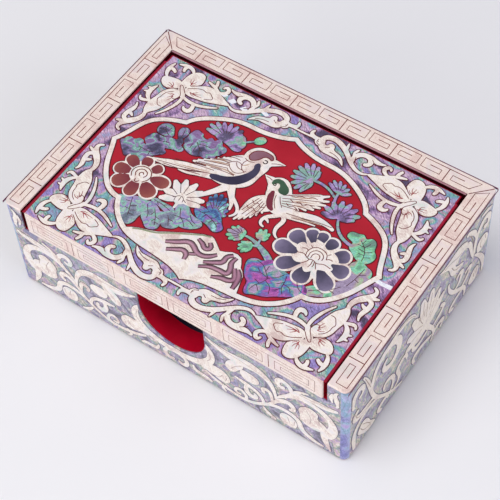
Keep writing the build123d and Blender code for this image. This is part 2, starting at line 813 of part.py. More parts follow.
def right_leaves():
    return fused([
        smooth(
            (83.5, 42.3), (84.2, 43.5), (85.9, 43.8), (87.4, 44.1),
            (88.4, 43.4), (89.7, 44.2), (91.1, 43.8), (91.8, 42.5),
            (92.2, 41.2), (93.2, 40.2), (93.5, 38.6), (92.9, 37.2),
            (91.6, 36.2), (89.9, 36.3), (88.4, 37),
            (86.9, 38), (85.8, 39.1), (86, 40.4), (84.8, 41),
        ),
        smooth(
            (90, 36), (91.6, 36.5), (93.2, 35.9), (94.8, 35.4),
            (95.7, 33.6), (95, 31.6), (94.4, 29.6), (93.4, 27.6),
            (92.2, 25.4), (90.6, 23.6), (88.6, 22), (86.2, 20.8), (83.8, 20),
            (83, 21.6), (84.6, 23.6), (87.4, 26), (89.6, 29),
        ),
    ])


def lower_right_leaves():
    return fused([
        smooth(
            (66.1, 20.2), (66.4, 21.9), (67.8, 22.8), (69.4, 23),
            (70.6, 24.2), (72.6, 24.4), (75, 23.6), (78, 23),
            (81.6, 22.6), (84.2, 21.4), (84.6, 19.7), (82.6, 18.2),
            (80.4, 16.7), (78.2, 15.5), (76.5, 14.3), (74.6, 13.5),
            (72.8, 12.9), (71, 12.2), (70, 13.6), (69.6, 15.3), (68.2, 16.5), (67, 18.1),
        ),
    ])


def rock():
    return angular(
        (32.4, 12.2), (34, 13.2), (36, 14.1), (38.4, 14.8), (41, 15.8),
        (43.4, 17.3), (45.8, 18.6), (48.6, 20.1), (51.4, 21.5),
        (53.8, 22.2), (54.8, 21.9), (56.4, 20.8), (58.2, 19.5),
        (59.6, 20), (61.2, 20.9), (62.8, 21.1), (64.3, 20.6),
        (65.2, 19.3), (65.9, 18), (67, 17.2), (67.9, 16), (68.3, 14.4), (68.8, 12.8), (69.4, 10.9),
        (62, 9.6), (58, 8.6), (54.4, 7), (50, 8.6), (44, 9.4), (37, 10.8),
    )


# Scroll inlays on the outer walls. Points are measured from the front left lower corner.
front_drawing_middle = 54.3
drawn_front = (110.0, 27.3)
drawn_wall = (75.5, 36.0)


def front_scrolls_half():
    """The right half of the front wall's scrolls."""
    return [
        band(
            (0.6, 1.3, 1.5, 1.7, 2, 2.3, 3, 3.4),
            (87.7, 14), (90.5, 17.6), (94, 20.2), (98, 21),
            (102.2, 19.8), (104.7, 17), (105, 13), (103.6, 9.8),
        ),
        smooth(
            (94.8, 13.5), (95.8, 17.2), (98.4, 18.4), (100.6, 17), (100.4, 15), (102.4, 13.8),
            (103.6, 11.5), (101.5, 9.3), (97.5, 8.6), (95, 10.6),
        ),
        band((3.2, 2.4, 1.8, 0.5), (103.2, 10.6), (102.6, 7.5), (103.3, 4.5), (104.4, 1.9)),
        band((0.8, 1.3, 1.7, 2.4, 1), (90.5, 16.8), (92.8, 20.6), (97, 22.8), (102, 23.3), (106.2, 24.6)),
        band((1.2, 1.2, 0.5), (92.4, 20.4), (94.6, 23.4), (97.6, 25.2)),
        band(
            (0.8, 1.2, 1.5, 1.7, 1.8, 1.5, 1),
            (92, 18.4), (92.6, 21.4), (91.4, 24), (89.2, 24.5), (88.2, 22.9), (88.9, 21.5), (90.1, 21.7),
        ),
        band(
            (0.4, 2.2, 4, 3.6, 2.4, 1.5, 0.7),
            (65.8, 24.9), (70, 22.9), (75, 22.1), (80, 22.8), (84.6, 21.2), (86.8, 17.6), (87.5, 13.2),
        ),
        smooth(
            (71.6, 16.5), (72.4, 19), (75, 20.9), (77.4, 20.8),
            (77, 18.6), (75.6, 16.8), (74.3, 14.9), (72.4, 14.7),
        ),
        smooth(
            (76.3, 16.6), (77, 18.4), (79.4, 18.6), (81.6, 18), (82.3, 16.2), (80.8, 14.4), (78.4, 14.2),
        ),
        band(
            (0.7, 1.1, 1.3, 1.4, 1.1),
            (86.3, 10.4), (86.1, 13.2), (85.1, 15.2), (83.7, 14.8), (83.7, 13.2),
        ),
        band(
            (0.9, 1, 1.2, 1.6, 2, 1.2),
            (83.6, 6.8), (86.8, 10.8), (89.4, 14), (91.8, 14.8), (93, 13.2), (92.2, 11.8),
        ),
        band(
            (1.4, 2.4, 2.8, 2.6, 2.4, 2.4),
            (65.2, 20.4), (66.9, 15.8), (65.4, 11.8), (61.8, 9), (57.6, 7.8), (53, 7.8),
        ),
        band((0.6, 1.7, 1.4, 1.2, 1), (74.6, 12.8), (78.4, 12), (81.6, 10.8), (83.2, 8.6), (83.3, 6.2)),
        band((1.2, 1.6, 1.9, 1.7, 1.1), (78.4, 11.4), (78, 9), (79.2, 7.2), (80.8, 7.6), (80.8, 9)),
        smooth(
            (65.8, 11.4), (68.5, 11.9), (71, 11.4), (72.6, 9), (72, 6.6),
            (69, 6), (66, 7.2), (63.4, 7.6), (63, 9.4),
        ),
        band(
            (0.9, 1.1, 1.1, 1.1, 1, 0.8),
            (77.2, 3.4), (77.6, 5.6), (76, 7), (74.4, 6.2), (74.4, 4.8), (75.7, 4.6),
        ),
        band(
            (0.8, 1.3, 1.2, 1.2, 1.2, 1.2, 1.3, 1.4, 1.7, 1.9, 1.6, 0.8),
            (64.6, 6.4), (67.4, 4.8), (70.4, 3.7), (74, 3), (78, 3.2), (82, 5.4),
            (84.8, 7.8), (88, 9.4), (91.4, 9.8), (94.4, 8.2), (95.4, 5), (98.6, 2.6), (102, 2.2),
        ),
        smooth((88.6, 6.2), (90.2, 8), (92.8, 7.7), (94, 5.6), (93.2, 3.1), (90.6, 2.6), (88.8, 4)),
        band((0.9, 1, 0.7), (71, 4), (70, 2.6), (70.8, 1.6)),
        band((0.7, 1.5, 1.4, 0.9), (60.2, 5.2), (61.4, 3.3), (64, 3), (66, 2.2)),
        band((0.9, 1.5, 1.5, 1.1), (56.4, 6.4), (58, 4.6), (57.2, 2.6), (55.4, 2.8)),
        band((0.8, 1.3, 0.7), (83.4, 4.8), (85, 3), (87, 2)),
    ]


def end_leaves():
    """Small leaves on the upright end of a side wall, from the end's own middle."""
    return [
        band((0.6, 1.7, 1.4, 0.5), (-0.1, 27), (-0.4, 29), (0.3, 31.4), (-0.3, 34)),
        band((0.5, 1.2, 0.5), (1.2, 28.4), (1.6, 30.2), (1.2, 32.4)),
    ]


def lotus(x):
    """A broad leafy blossom on a short stem."""
    tips = ((-9.6, 6), (-7.6, 11.6), (-3.4, 15.8), (1.4, 15), (5.4, 10.2), (8, 5.4), (-10, 1.4))
    shapes = petals((x, 14.4), [(x + dx, 14.4 + dy) for dx, dy in tips], 4.4, 2.4)
    shapes.append(band((2.4, 1.6, 1.3, 0.6), (x, 15), (x + 2.6, 10.4), (x + 4.8, 5.6), (x + 3.6, 2)))
    return shapes


def side_scrolls():
    """Scrolls of one side wall, from its front edge to its back edge."""
    return fused([
        band(
            (1, 2, 2.4, 2, 1.5, 1),
            (3.2, 24.5), (3, 28.2), (5, 30.8), (7.2, 29.8), (7.6, 27.4), (6, 26.4),
        ),
        band(
            (0.8, 1.6, 1.4, 1.4, 1.3, 1.2, 0.8),
            (7.6, 33.4), (10.2, 27), (12, 20), (14.5, 14), (18, 9.5), (22, 5.5), (28, 2.2),
        ),
        band(
            (1, 1.6, 2, 2.6, 2.6, 2.8, 2.8, 2.4, 2, 1.2),
            (12.2, 20), (12.6, 26), (15, 30), (19.5, 31.4), (24, 29.4),
            (25.2, 25.4), (23.4, 22), (19.8, 21.6), (17.6, 24), (18.8, 26.6),
        ),
        band((1.5, 2, 1.8, 0.6), (19, 31.6), (25, 32.6), (30.4, 31.2), (33.2, 28)),
        band((0.8, 1.6, 2.4, 2.4, 1.4), (14.4, 14.6), (10, 16), (6.4, 16.2), (3.8, 18.4), (5, 20.4)),
        band(
            (0.8, 1.2, 1.6, 1.6, 2, 1.4),
            (16.8, 11), (11.6, 13.8), (7.2, 13.4), (4.3, 10.8), (3.7, 6.5), (4, 2.4),
        ),
        smooth((6.3, 9), (8.8, 10.2), (11, 8), (12.5, 4.6), (14.4, 2), (10.5, 1.9), (7.5, 4.5)),
        *lotus(40),
        band((0.6, 1.4, 1.7, 1.6, 1.1), (21.6, 6), (23.4, 9.4), (22, 13.4), (19.2, 14.2), (18.6, 12)),
        band((0.6, 1.4, 1.7, 1.6, 1.1), (24, 4.6), (26.2, 9.2), (25.6, 13), (28.6, 14.6), (30, 12.2)),
        band((0.6, 1.4, 1.7, 1.4), (41.6, 12), (37.4, 10.2), (34, 10.8), (33.4, 13.6)),
        band((0.6, 1.4, 1.7, 1.4), (43.4, 8.8), (46.4, 10), (49.4, 12), (48, 14.4)),
        smooth(
            (44.6, 33.2), (50, 32.5), (55.6, 32.6), (59.8, 29.6), (55.8, 28.4), (53.9, 26.2),
            (56, 23.6), (58.8, 21.6), (55.5, 21), (51.6, 24.2), (50.2, 28), (47, 31),
        ),
        band(
            (0.8, 1.6, 1.9, 1.6, 1.2, 0.7),
            (54.6, 26.2), (57, 28.6), (60.4, 27.8), (62.4, 24.4), (63.4, 20.8), (64.8, 17),
        ),
        band(
            (0.8, 1.5, 1.8, 2, 2, 2, 1.4),
            (64.8, 17), (65.3, 23.6), (66.6, 27.6), (69.5, 29.8), (72, 28), (71.6, 25.2), (69.8, 25.6),
        ),
        band((1.6, 1.8, 0.8), (59.6, 33.2), (63.4, 29.8), (65.2, 25)),
        band((0.6, 1.8, 0.6), (67, 33), (70, 32.4), (72.6, 31.6)),
        smooth((66.8, 17.6), (69, 21.4), (72, 20.2), (72.8, 17), (70.2, 15)),
        band((0.8, 1.4, 1.6, 1.6, 1), (51.2, 20), (53, 14.5), (57, 10), (61.2, 6.5), (62.2, 2)),
        band((0.8, 1.6, 2, 1.2), (66, 16.4), (69.6, 12), (72, 7), (72.4, 2.4)),
        band((0.8, 1.7, 1.8, 1.2), (54.4, 12.6), (58.4, 14.6), (58.6, 17.6), (56, 17.6)),
        band((0.8, 1.7, 1.8, 1.2), (58.8, 8.6), (62.6, 10.4), (64, 13.4), (61.4, 13.8)),
        smooth((65, 3), (65.6, 7.4), (68.4, 8.4), (69.8, 5.4), (68.4, 2.4)),
        band((1, 1.6, 1.8, 1.2), (21, 4.6), (18.6, 6), (16.2, 4.6), (17.4, 2.8)),
        band((0.8, 1.6, 1.9, 1.3), (43.6, 5), (38.6, 6.4), (34.2, 6), (34.4, 3.6)),
        band((0.8, 1.6, 1.8, 1.2), (45, 3.4), (47.2, 5.6), (50, 4.8), (49, 2.8)),
        band((0.8, 1.6, 1.8, 1.2), (60.2, 6.2), (56.6, 6), (54, 4), (55.6, 2.6)),
    ])


def back_scrolls_half():
    """The right half of the back wall's scrolls: the front ones, with a row of curls above them."""
    top_row = [
        band((0.6, 1.8, 2, 1.4, 1), (105.6, 25.6), (105.4, 30.4), (102.2, 32.6), (99.6, 31), (101, 28.8)),
        band((0.6, 1.8, 2.6, 1.6, 0.6), (99, 25.4), (95.6, 28.8), (91, 31.6), (85.4, 31.4), (82, 28.4)),
        band((0.6, 1.6, 1.8, 1.4, 1), (85, 23.4), (80.8, 27.4), (76, 28.6), (74, 31.4), (76.8, 32.4)),
        band((0.6, 1.8, 2, 1.2, 0.8), (75.6, 25), (71, 28), (66.6, 31.4), (63, 32.8), (62, 30)),
    ]
    return front_scrolls_half() + top_row


def wall_field(length, top):
    """The part of a wall face that its inlays keep to."""
    edge = corner_radius + inlay_margin
    low = felt_thickness + inlay_margin
    high = top - inlay_margin
    return Pos(edge, low) * Rectangle(length - 2 * edge, high - low, align=(Align.MIN, Align.MIN))


def front_scrolls():
    fit = (box_length / drawn_front[0], front_wall_top / drawn_front[1], 1)
    half = scale(Pos(-front_drawing_middle, 0) * fused(front_scrolls_half()), by=fit)
    field = Pos(-half_length, 0) * wall_field(box_length, front_wall_top)
    notch = dot(0, notch_axis_height, notch_radius + inlay_margin)
    notch += Pos(0, notch_axis_height) * Rectangle(
        2 * (notch_radius + inlay_margin), box_height, align=(Align.CENTER, Align.MIN)
    )
    scrolls = (both_sides(half) & field) - notch
    leaf_centre = -(carcass_length / 2 + inner_half_length) / 2
    leaf_fit = (1, box_height / drawn_wall[1], 1)
    ends = both_sides(Pos(leaf_centre, 0) * scale(fused(end_leaves()), by=leaf_fit))
    field = Pos(-half_length, 0) * wall_field(box_length, rim_bottom)
    lid_band = Pos(0, front_wall_top - inlay_margin) * Rectangle(
        2 * (inner_half_length + inlay_margin), box_height, align=(Align.CENTER, Align.MIN)
    )
    return fused([scrolls, (ends & field) - lid_band])


def back_scrolls():
    fit = (box_length / drawn_front[0], box_height / drawn_wall[1], 1)
    half = Pos(-front_drawing_middle, 0) * fused(back_scrolls_half())
    field = Pos(-half_length, 0) * wall_field(box_length, rim_bottom)
    return scale(fused([both_sides(half), fused(lotus(0))]), by=fit) & field


def wall_inlay(sketch, plane):
    """An inlay standing on a wall's ground, out to the box's full size."""
    return extrude(plane * sketch, amount=relief, dir=plane.z_dir)


def build_lid_ground():
    """The veneer round the medallion, the medallion's lacquer ground and the ring between them."""
    field = fitted_to_lid(medallion())
    ground = extrude(Pos(0, lid_middle, lid_ground_bottom) * field, amount=veneer - relief)
    save(ground, "lid_medallion_ground")
    sheet = lid_outline(lid_ground_bottom, lid_ground_top)
    sheet &= block(
        (-lid_half_length, lid_front + veneer, lid_ground_bottom),
        (lid_half_length, lid_back, lid_ground_top),
    )
    save(sheet - ground, "lid_shell_ground")
    ring = medallion(ring_width / 2) - medallion(-ring_width / 2)
    save(lid_plate(ring), "lid_medallion_ring")


def build_lid_border():
    """Butterflies in the corners, and scrolls between them along each edge."""
    field = Rectangle(drawn_lid[0] - 2 * inlay_margin, drawn_lid[1] - 2 * inlay_margin)
    border = field - medallion(ring_width / 2)
    corner = butterfly() & border
    for name, turn in corner_places().items():
        save(lid_plate(turn(corner)), f"{name}_butterfly")
    border -= four_ways(butterfly())
    front = both_sides(front_vine())
    side = side_vine() + mirror(side_vine(), about=Plane.XZ)
    save(lid_plate(front & border), "front_lid_vine")
    save(lid_plate(mirror(front, about=Plane.XZ) & border), "back_lid_vine")
    save(lid_plate(side & border), "left_lid_vine")
    save(lid_plate(mirror(side, about=Plane.YZ) & border), "right_lid_vine")


def build_picture():
    """The inlays inside the medallion, each cut to what those in front leave free."""
    inside = medallion(-ring_width / 2)
    in_front = []
    for name, motif in picture().items():
        shape = centred(motif()) & inside
        for other in in_front:
            shape -= other
        in_front.append(centred(motif()))
        save(lid_plate(shape), name)


def corner_places():
    """How the front left butterfly is turned to each corner."""
    return {
        "front_left": lambda sketch: sketch,
        "front_right": lambda sketch: mirror(sketch, about=Plane.YZ),
        "back_left": lambda sketch: mirror(sketch, about=Plane.XZ),
        "back_right": lambda sketch: mirror(mirror(sketch, about=Plane.XZ), about=Plane.YZ),
    }


def picture():
    """The inlays of the middle picture, those in front first."""
    return {
        "left_bird": left_bird,
        "right_bird": right_bird,
        "left_flower": left_flower,
        "right_flower": right_flower,
        "half_blossom": half_blossom,
        "rock": rock,
        "middle_leaves": middle_leaves,
        "fan_blossoms": fan_blossoms,
        "buds": buds,
        "upper_left_leaves": upper_left_leaves,
        "lower_left_leaves": lower_left_leaves,
        "lower_right_leaves": lower_right_leaves,
        "right_leaves": right_leaves,
        "stems": stems,
    }


def build_wall_ornament():
    front = Plane((0, relief - half_depth, 0), x_dir=(1, 0, 0), z_dir=(0, -1, 0))
    back = Plane((0, half_depth - relief, 0), x_dir=(-1, 0, 0), z_dir=(0, 1, 0))
    right = Plane((half_length - relief, -half_depth, 0), x_dir=(0, 1, 0), z_dir=(1, 0, 0))
    save(wall_inlay(front_scrolls(), front), "front_scroll_inlay")
    save(wall_inlay(back_scrolls(), back), "back_scroll_inlay")
    fit = (box_depth / drawn_wall[0], box_height / drawn_wall[1], 1)
    side = wall_inlay(scale(side_scrolls(), by=fit) & wall_field(box_depth, rim_bottom), right)
    save(side, "right_scroll_inlay")
    save(mirrored(side), "left_scroll_inlay")


def build_structure():
    save(floor_board(), "floor_board")
    save(base_felt(), "base_felt")
    save(front_wall(), "front_wall")
    save(back_wall(), "back_wall")
    save(left_wall(), "left_wall")
    save(mirrored(left_wall()), "right_wall")
    save(floor_lining(), "floor_lining")
    save(front_lining(), "front_lining")
    save(back_lining(), "back_lining")
    save(left_lining(), "left_lining")
    save(mirrored(left_lining()), "right_lining")
    save(left_bush(), "left_hinge_bush")
    save(mirrored(left_bush()), "right_hinge_bush")
    save(left_washer(), "left_hinge_washer")
    save(mirrored(left_washer()), "right_hinge_washer")
    save(left_pin(), "left_hinge_pin")
    save(mirrored(left_pin()), "right_hinge_pin")
    save(lid_board(), "lid_board")
    save(lid_lining_sheet(), "lid_underside_lining")
    save(lid_front_band(), "lid_front_band")
    save(front_ground(), "front_shell_ground")
    save(back_ground(), "back_shell_ground")
    save(left_ground(), "left_shell_ground")
    save(mirrored(left_ground()), "right_shell_ground")
    save(corner_strips(), "corner_shell_strips")
    left, back, right = rim_parts()
    save(left, "left_rim_band")
    save(back, "back_rim_band")
    save(right, "right_rim_band")


build_structure()
build_lid_ground()
build_lid_border()
build_picture()
build_wall_ornament()
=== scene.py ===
import bpy
import json
from math import cos, radians, sin
from mathutils import Matrix, Vector


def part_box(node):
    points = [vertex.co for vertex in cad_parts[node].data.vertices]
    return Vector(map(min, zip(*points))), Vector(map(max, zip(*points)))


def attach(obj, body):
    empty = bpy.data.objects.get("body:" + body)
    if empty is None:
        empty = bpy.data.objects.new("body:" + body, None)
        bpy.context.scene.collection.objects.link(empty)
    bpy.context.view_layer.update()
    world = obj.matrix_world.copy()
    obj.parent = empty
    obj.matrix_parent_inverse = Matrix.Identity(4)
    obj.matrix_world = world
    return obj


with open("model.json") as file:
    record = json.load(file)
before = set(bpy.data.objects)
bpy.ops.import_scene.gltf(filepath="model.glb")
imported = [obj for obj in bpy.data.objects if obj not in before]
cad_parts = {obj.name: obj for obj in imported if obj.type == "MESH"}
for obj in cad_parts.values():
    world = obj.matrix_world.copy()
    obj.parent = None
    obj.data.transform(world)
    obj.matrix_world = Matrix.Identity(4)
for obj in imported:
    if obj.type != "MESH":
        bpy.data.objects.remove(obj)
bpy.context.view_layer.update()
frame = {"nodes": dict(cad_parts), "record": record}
nodes = frame["nodes"]
mm = 0.001
print("frame loaded:", len(nodes), "nodes")


def linearColour(hexCode):
    parts = [int(hexCode[i:i + 2], 16) / 255 for i in (1, 3, 5)]
    return [c / 12.92 if c <= 0.04045 else ((c + 0.055) / 1.055) ** 2.4 for c in parts] + [1.0]


# inputs are values or sockets to link; stops are a ramp's places and colours
def addNode(tree, kind, inputs=None, stops=None, **settings):
    node = tree.nodes.new("ShaderNode" + kind)
    for name, value in settings.items():
        setattr(node, name, value)
    if stops:
        ramp = node.color_ramp.elements
        ramp.remove(ramp[1])
        ramp[0].position = stops[0][0]
        ramp[0].color = linearColour(stops[0][1])
        for place, colour in stops[1:]:
            ramp.new(place).color = linearColour(colour)
    for socket, value in (inputs or {}).items():
        if isinstance(value, bpy.types.NodeSocket):
            tree.links.new(value, node.inputs[socket])
        else:
            node.inputs[socket].default_value = value
    return node


def startMaterial(name, finish):
    material = bpy.data.materials.new(name)
    material.use_nodes = True
    tree = material.node_tree
    shader = tree.nodes["Principled BSDF"]
    for socket, value in finish.items():
        shader.inputs[socket].default_value = value
    place = addNode(tree, "TexCoord").outputs["Object"]
    return material, tree, shader, place


# the lid's drawing has its own corner in front on the left; this is the box's middle in it, in mm
middleX, middleY = 54.4, 38.65
inlayTop = 35.6


def fromDrawing(x, y):
    return (x - middleX) * mm, (y - middleY) * mm, inlayTop * mm


# Nacre cut thin, glued down and rubbed smooth under clear lacquer: soft patches of colour,
# finer growth streaks across them, hairline cracks, and a wet gloss on top.
def shellMaterial(name, values):
    finish = {"Roughness": values["roughness"], "IOR": 1.53, "Coat Weight": 0.35, "Coat Roughness": 0.08}
    finish["Specular IOR Level"] = 0.4
    material, tree, shader, place = startMaterial(name, finish)
    turned = addNode(tree, "Mapping", {
        "Vector": place,
        "Location": [v * mm for v in values.get("shift", (0, 0, 0))],
        "Rotation": [radians(v) for v in values["grain"]],
    }).outputs["Vector"]
    patch = addNode(tree, "TexNoise", {
        "Vector": turned, "Scale": 1 / (values["patch"] * mm), "Detail": 1.0, "Roughness": 0.5,
        "Distortion": values["twist"],
    }).outputs["Fac"]
    lengthened = (1.0, values["stretch"], 1.0)
    stretched = addNode(tree, "Mapping", {"Vector": turned, "Scale": lengthened}).outputs["Vector"]
    streak = addNode(tree, "TexNoise", {
        "Vector": stretched, "Scale": 1 / (values["streak"] * mm), "Detail": 2.5, "Roughness": 0.5,
        "Distortion": 1.6,
    }).outputs["Fac"]
    share = values["streakShare"]
    blend = addNode(tree, "Mix", {0: share, 2: patch, 3: streak}, data_type="FLOAT").outputs[0]
    # hues drift from one side of the piece to the other
    lean = [v / mm for v in values.get("lean", (0, 0, 0))]
    drift = addNode(tree, "VectorMath", {0: place, 1: lean}, operation="DOT_PRODUCT").outputs["Value"]
    blend = addNode(tree, "Math", {0: blend, 1: drift}, operation="ADD").outputs[0]
    # every glued strip has a hue of its own
    chips = {"Vector": stretched, "Scale": 1 / (values["chip"] * mm), "Randomness": 1.0}
    strips = addNode(tree, "TexVoronoi", chips)
    own = addNode(tree, "SeparateColor", {"Color": strips.outputs["Color"]}).outputs[0]
    stripBlend = {0: own, 1: values["strips"], 2: blend}
    blend = addNode(tree, "Math", stripBlend, operation="MULTIPLY_ADD").outputs[0]
    # and some places are lighter or darker in the ramp: x, y, reach and lift
    for x, y, reach, lift in values.get("spots", []):
        spot = {0: place, 1: fromDrawing(x, y)}
        away = addNode(tree, "VectorMath", spot, operation="DISTANCE").outputs["Value"]
        near = addNode(tree, "MapRange", {
            "Value": away, "From Min": 0.0, "From Max": reach * mm, "To Min": lift, "To Max": 0.0,
        }, interpolation_type="SMOOTHSTEP").outputs["Result"]
        blend = addNode(tree, "Math", {0: blend, 1: near}, operation="ADD").outputs[0]
    spread = addNode(tree, "MapRange", {
        "Value": blend, "From Min": values["from"], "From Max": values["to"], "To Min": 0.0, "To Max": 1.0,
    }).outputs["Result"]
    colour = addNode(tree, "ValToRGB", {"Fac": spread}, stops=values["colours"]).outputs["Color"]
    # the streaks lighten and darken a patch without changing its hue
    tone = addNode(tree, "MapRange", {
        "Value": streak, "From Min": 0.3, "From Max": 0.7,
        "To Min": 1.0 - values["streakTone"], "To Max": 1.0 + values["streakTone"],
    }).outputs["Result"]
    colour = addNode(tree, "VectorMath", {0: colour, "Scale": tone}, operation="SCALE").outputs["Vector"]
    # dark growth lines run along the streaks
    growth = addNode(tree, "TexNoise", {
        "Vector": stretched, "Scale": 1 / (values["streak"] * 0.6 * mm), "Detail": 2.0, "Distortion": 2.0,
    }).outputs["Fac"]
    shade = addNode(tree, "MapRange", {
        "Value": growth, "From Min": 0.4, "From Max": 0.27, "To Min": 0.0, "To Max": values["growth"],
    }).outputs["Result"]
    lineTint = {0: shade, 6: colour, 7: linearColour(values["growthColour"])}
    colour = addNode(tree, "Mix", lineTint, data_type="RGBA").outputs[2]
    # light glints where the streaks peak
    glint = addNode(tree, "MapRange", {
        "Value": streak, "From Min": values["glintFrom"], "From Max": values["glintFrom"] + 0.12,
        "To Min": 0.0, "To Max": values["glint"],
    }).outputs["Result"]
    glintTint = {0: glint, 6: colour, 7: linearColour(values["glintColour"])}
    colour = addNode(tree, "Mix", glintTint, data_type="RGBA").outputs[2]
    # hairline cracks between the glued chips
    cracks = addNode(tree, "TexVoronoi", chips, feature="DISTANCE_TO_EDGE").outputs["Distance"]
    crackShade = addNode(tree, "MapRange", {
        "Value": cracks, "From Min": 0.0, "From Max": 0.035, "To Min": values["crack"], "To Max": 0.0,
    }).outputs["Result"]
    crackTint = {0: crackShade, 6: colour, 7: linearColour(values["crackColour"])}
    colour = addNode(tree, "Mix", crackTint, data_type="RGBA").outputs[2]
    tree.links.new(colour, shader.inputs["Base Color"])
    relief = {"Height": blend, "Strength": 0.12, "Distance": 0.08 * mm}
    bump = addNode(tree, "Bump", relief).outputs["Normal"]
    tree.links.new(bump, shader.inputs["Normal"])
    return material


# Lacquer over wood, brushed in many coats and rubbed: deep even colour, faint cloudiness, small dust marks.
# Its look is a darker tone, a lighter tone, the roughness and the coat.
def lacquerMaterial(name, look):
    dark, light, roughness, coat = look
    finish = {"IOR": 1.5, "Coat Weight": coat, "Coat Roughness": 0.08, "Specular IOR Level": 0.25}
    material, tree, shader, place = startMaterial(name, finish)
    wide = {"Vector": place, "Scale": 1 / (9 * mm), "Detail": 3.0}
    cloud = addNode(tree, "TexNoise", wide).outputs["Fac"]
    colour = addNode(tree, "ValToRGB", {"Fac": cloud}, stops=[(0.3, dark), (0.7, light)]).outputs["Color"]
    tree.links.new(colour, shader.inputs["Base Color"])
    fine = {"Vector": place, "Scale": 1 / (0.9 * mm), "Detail": 4.0}
    rubbed = addNode(tree, "TexNoise", fine).outputs["Fac"]
    rough = addNode(tree, "MapRange", {
        "Value": rubbed, "From Min": 0.3, "From Max": 0.7,
        "To Min": roughness - 0.06, "To Max": roughness + 0.08,
    }).outputs["Result"]
    tree.links.new(rough, shader.inputs["Roughness"])
    relief = {"Height": rubbed, "Strength": 0.08, "Distance": 0.04 * mm}
    bump = addNode(tree, "Bump", relief).outputs["Normal"]
    tree.links.new(bump, shader.inputs["Normal"])
    return material


pearlLook = {  # cream pearl oyster of the butterflies, birds and scrolls
    "colours": [(0.0, "#DEC6C0"), (0.3, "#EFE0D7"), (0.55, "#FBF3E8"), (0.78, "#F5EAEC"), (1.0, "#DCE4DC")],
    "patch": 5.0, "twist": 0.8, "streak": 1.3, "stretch": 3.0, "streakShare": 0.35, "streakTone": 0.08,
    "grain": (0, 0, 24), "from": 0.36, "to": 0.66, "strips": 0.03,
    "glintFrom": 0.6, "glint": 0.55, "glintColour": "#FFFBF6", "growth": 0.2, "growthColour": "#AE908C",
    "chip": 9.0, "crack": 0.1, "crackColour": "#B9A09A", "roughness": 0.34,
}
rimPearlLook = dict(pearlLook, colours=[
    (0.0, "#E7CCC4"), (0.3, "#F0D9D0"), (0.6, "#F5E6DB"), (0.82, "#EFDADA"), (1.0, "#E5DBD5"),
], crack=0.05, patch=7.0, glint=0.3, growth=0.1)
abaloneLook = {  # dyed abalone of the lid's ground: violet and slate behind, teal and rose in front
    "colours": [
        (0.0, "#564A68"), (0.12, "#80668F"), (0.24, "#B08ABA"), (0.36, "#D2B8CC"), (0.46, "#C09CC0"),
        (0.55, "#98A0C4"), (0.64, "#7CAABE"), (0.72, "#74B4A6"), (0.8, "#A6BCB0"), (0.87, "#BAB0B6"),
        (0.94, "#CB9AC6"), (1.0, "#9686C2"),
    ],
    "patch": 11.0, "twist": 1.4, "streak": 1.5, "stretch": 3.4, "streakShare": 0.12, "streakTone": 0.46,
    "grain": (0, 0, 40), "from": 0.36, "to": 0.68, "strips": 0.05, "lean": (0, -0.0014, 0),
    "spots": [
        (8, 64, 15, -0.12), (12, 28, 17, -0.14), (26, 6, 9, 0.04), (60, 5, 10, 0.05), (88, 18, 9, 0.04),
        (99, 44, 9, 0.13), (95, 60, 9, -0.1), (80, 64, 10, 0.1), (54, 70, 12, 0.08), (101, 30, 6, -0.07),
    ],
    "glintFrom": 0.66, "glint": 0.6, "glintColour": "#E4DFF2", "growth": 0.5, "growthColour": "#4C4258",
    "chip": 9.0, "crack": 0.4, "crackColour": "#433C54", "roughness": 0.3,
}
wallAbaloneLook = dict(abaloneLook, colours=[
    (0.0, "#5E5A70"), (0.14, "#7D7594"), (0.26, "#978CAE"), (0.38, "#B3A6BC"), (0.48, "#8F94AC"),
    (0.58, "#86A09C"), (0.68, "#A8AC9C"), (0.78, "#CBBDB4"), (0.88, "#C6A4BE"), (1.0, "#8482A6"),
], crack=0.3, patch=6.0, lean=(0, 0, 0), grain=(0, 20, 10), growth=0.6, growthColour="#565068")
sideAbaloneLook = dict(wallAbaloneLook, colours=[
    (0.0, "#685C76"), (0.14, "#857896"), (0.28, "#A08EAC"), (0.42, "#9694AA"), (0.54, "#86A096"),
    (0.66, "#B2B496"), (0.78, "#D0C2AC"), (0.9, "#B898B4"), (1.0, "#827CA2"),
], patch=4.6, streakTone=0.4, growth=0.4)
creamPearlLook = dict(pearlLook, colours=[
    (0.0, "#DAC8BC"), (0.3, "#E8DACC"), (0.55, "#F2E6D2"), (0.78, "#EBDBD6"), (1.0, "#D8D6CC"),
], patch=6.0)
# pale bluish pearl of the bright chip, also used for the painted glints
palePearlAndGlintLook = dict(pearlLook, colours=[(0.0, "#D4DAF0"), (0.4, "#F2F4FF"), (1.0, "#FFFFFF")])
cornerLook = dict(wallAbaloneLook, colours=[
    (0.0, "#5D62A4"), (0.25, "#7C7CBC"), (0.45, "#9EA2D2"), (0.65, "#7FA9C4"), (0.8, "#A9B8D8"),
    (1.0, "#B39AD2"),
], patch=6.0, twist=0.4, grain=(0, 90, 0), streak=1.0, streakTone=0.2, growth=0.2, glint=0.4)
leafLook = {  # leaf chips in green, blue and lilac abalone
    "colours": [
        (0.0, "#4E6C84"), (0.2, "#5E93A6"), (0.38, "#72B3A2"), (0.55, "#8C9DBE"), (0.72, "#9C83B8"),
        (0.88, "#B78CBA"), (1.0, "#7FC3B4"),
    ],
    "patch": 4.4, "twist": 0.5, "streak": 0.8, "stretch": 2.6, "streakShare": 0.12, "streakTone": 0.34,
    "grain": (0, 0, -40), "from": 0.38, "to": 0.66,
    "strips": 0.06, "glintFrom": 0.66, "glint": 0.5, "glintColour": "#DCE6F0",
    "growth": 0.35, "growthColour": "#3C3448",
    "chip": 4.0, "crack": 0.12, "crackColour": "#3F4B60", "roughness": 0.3,
}
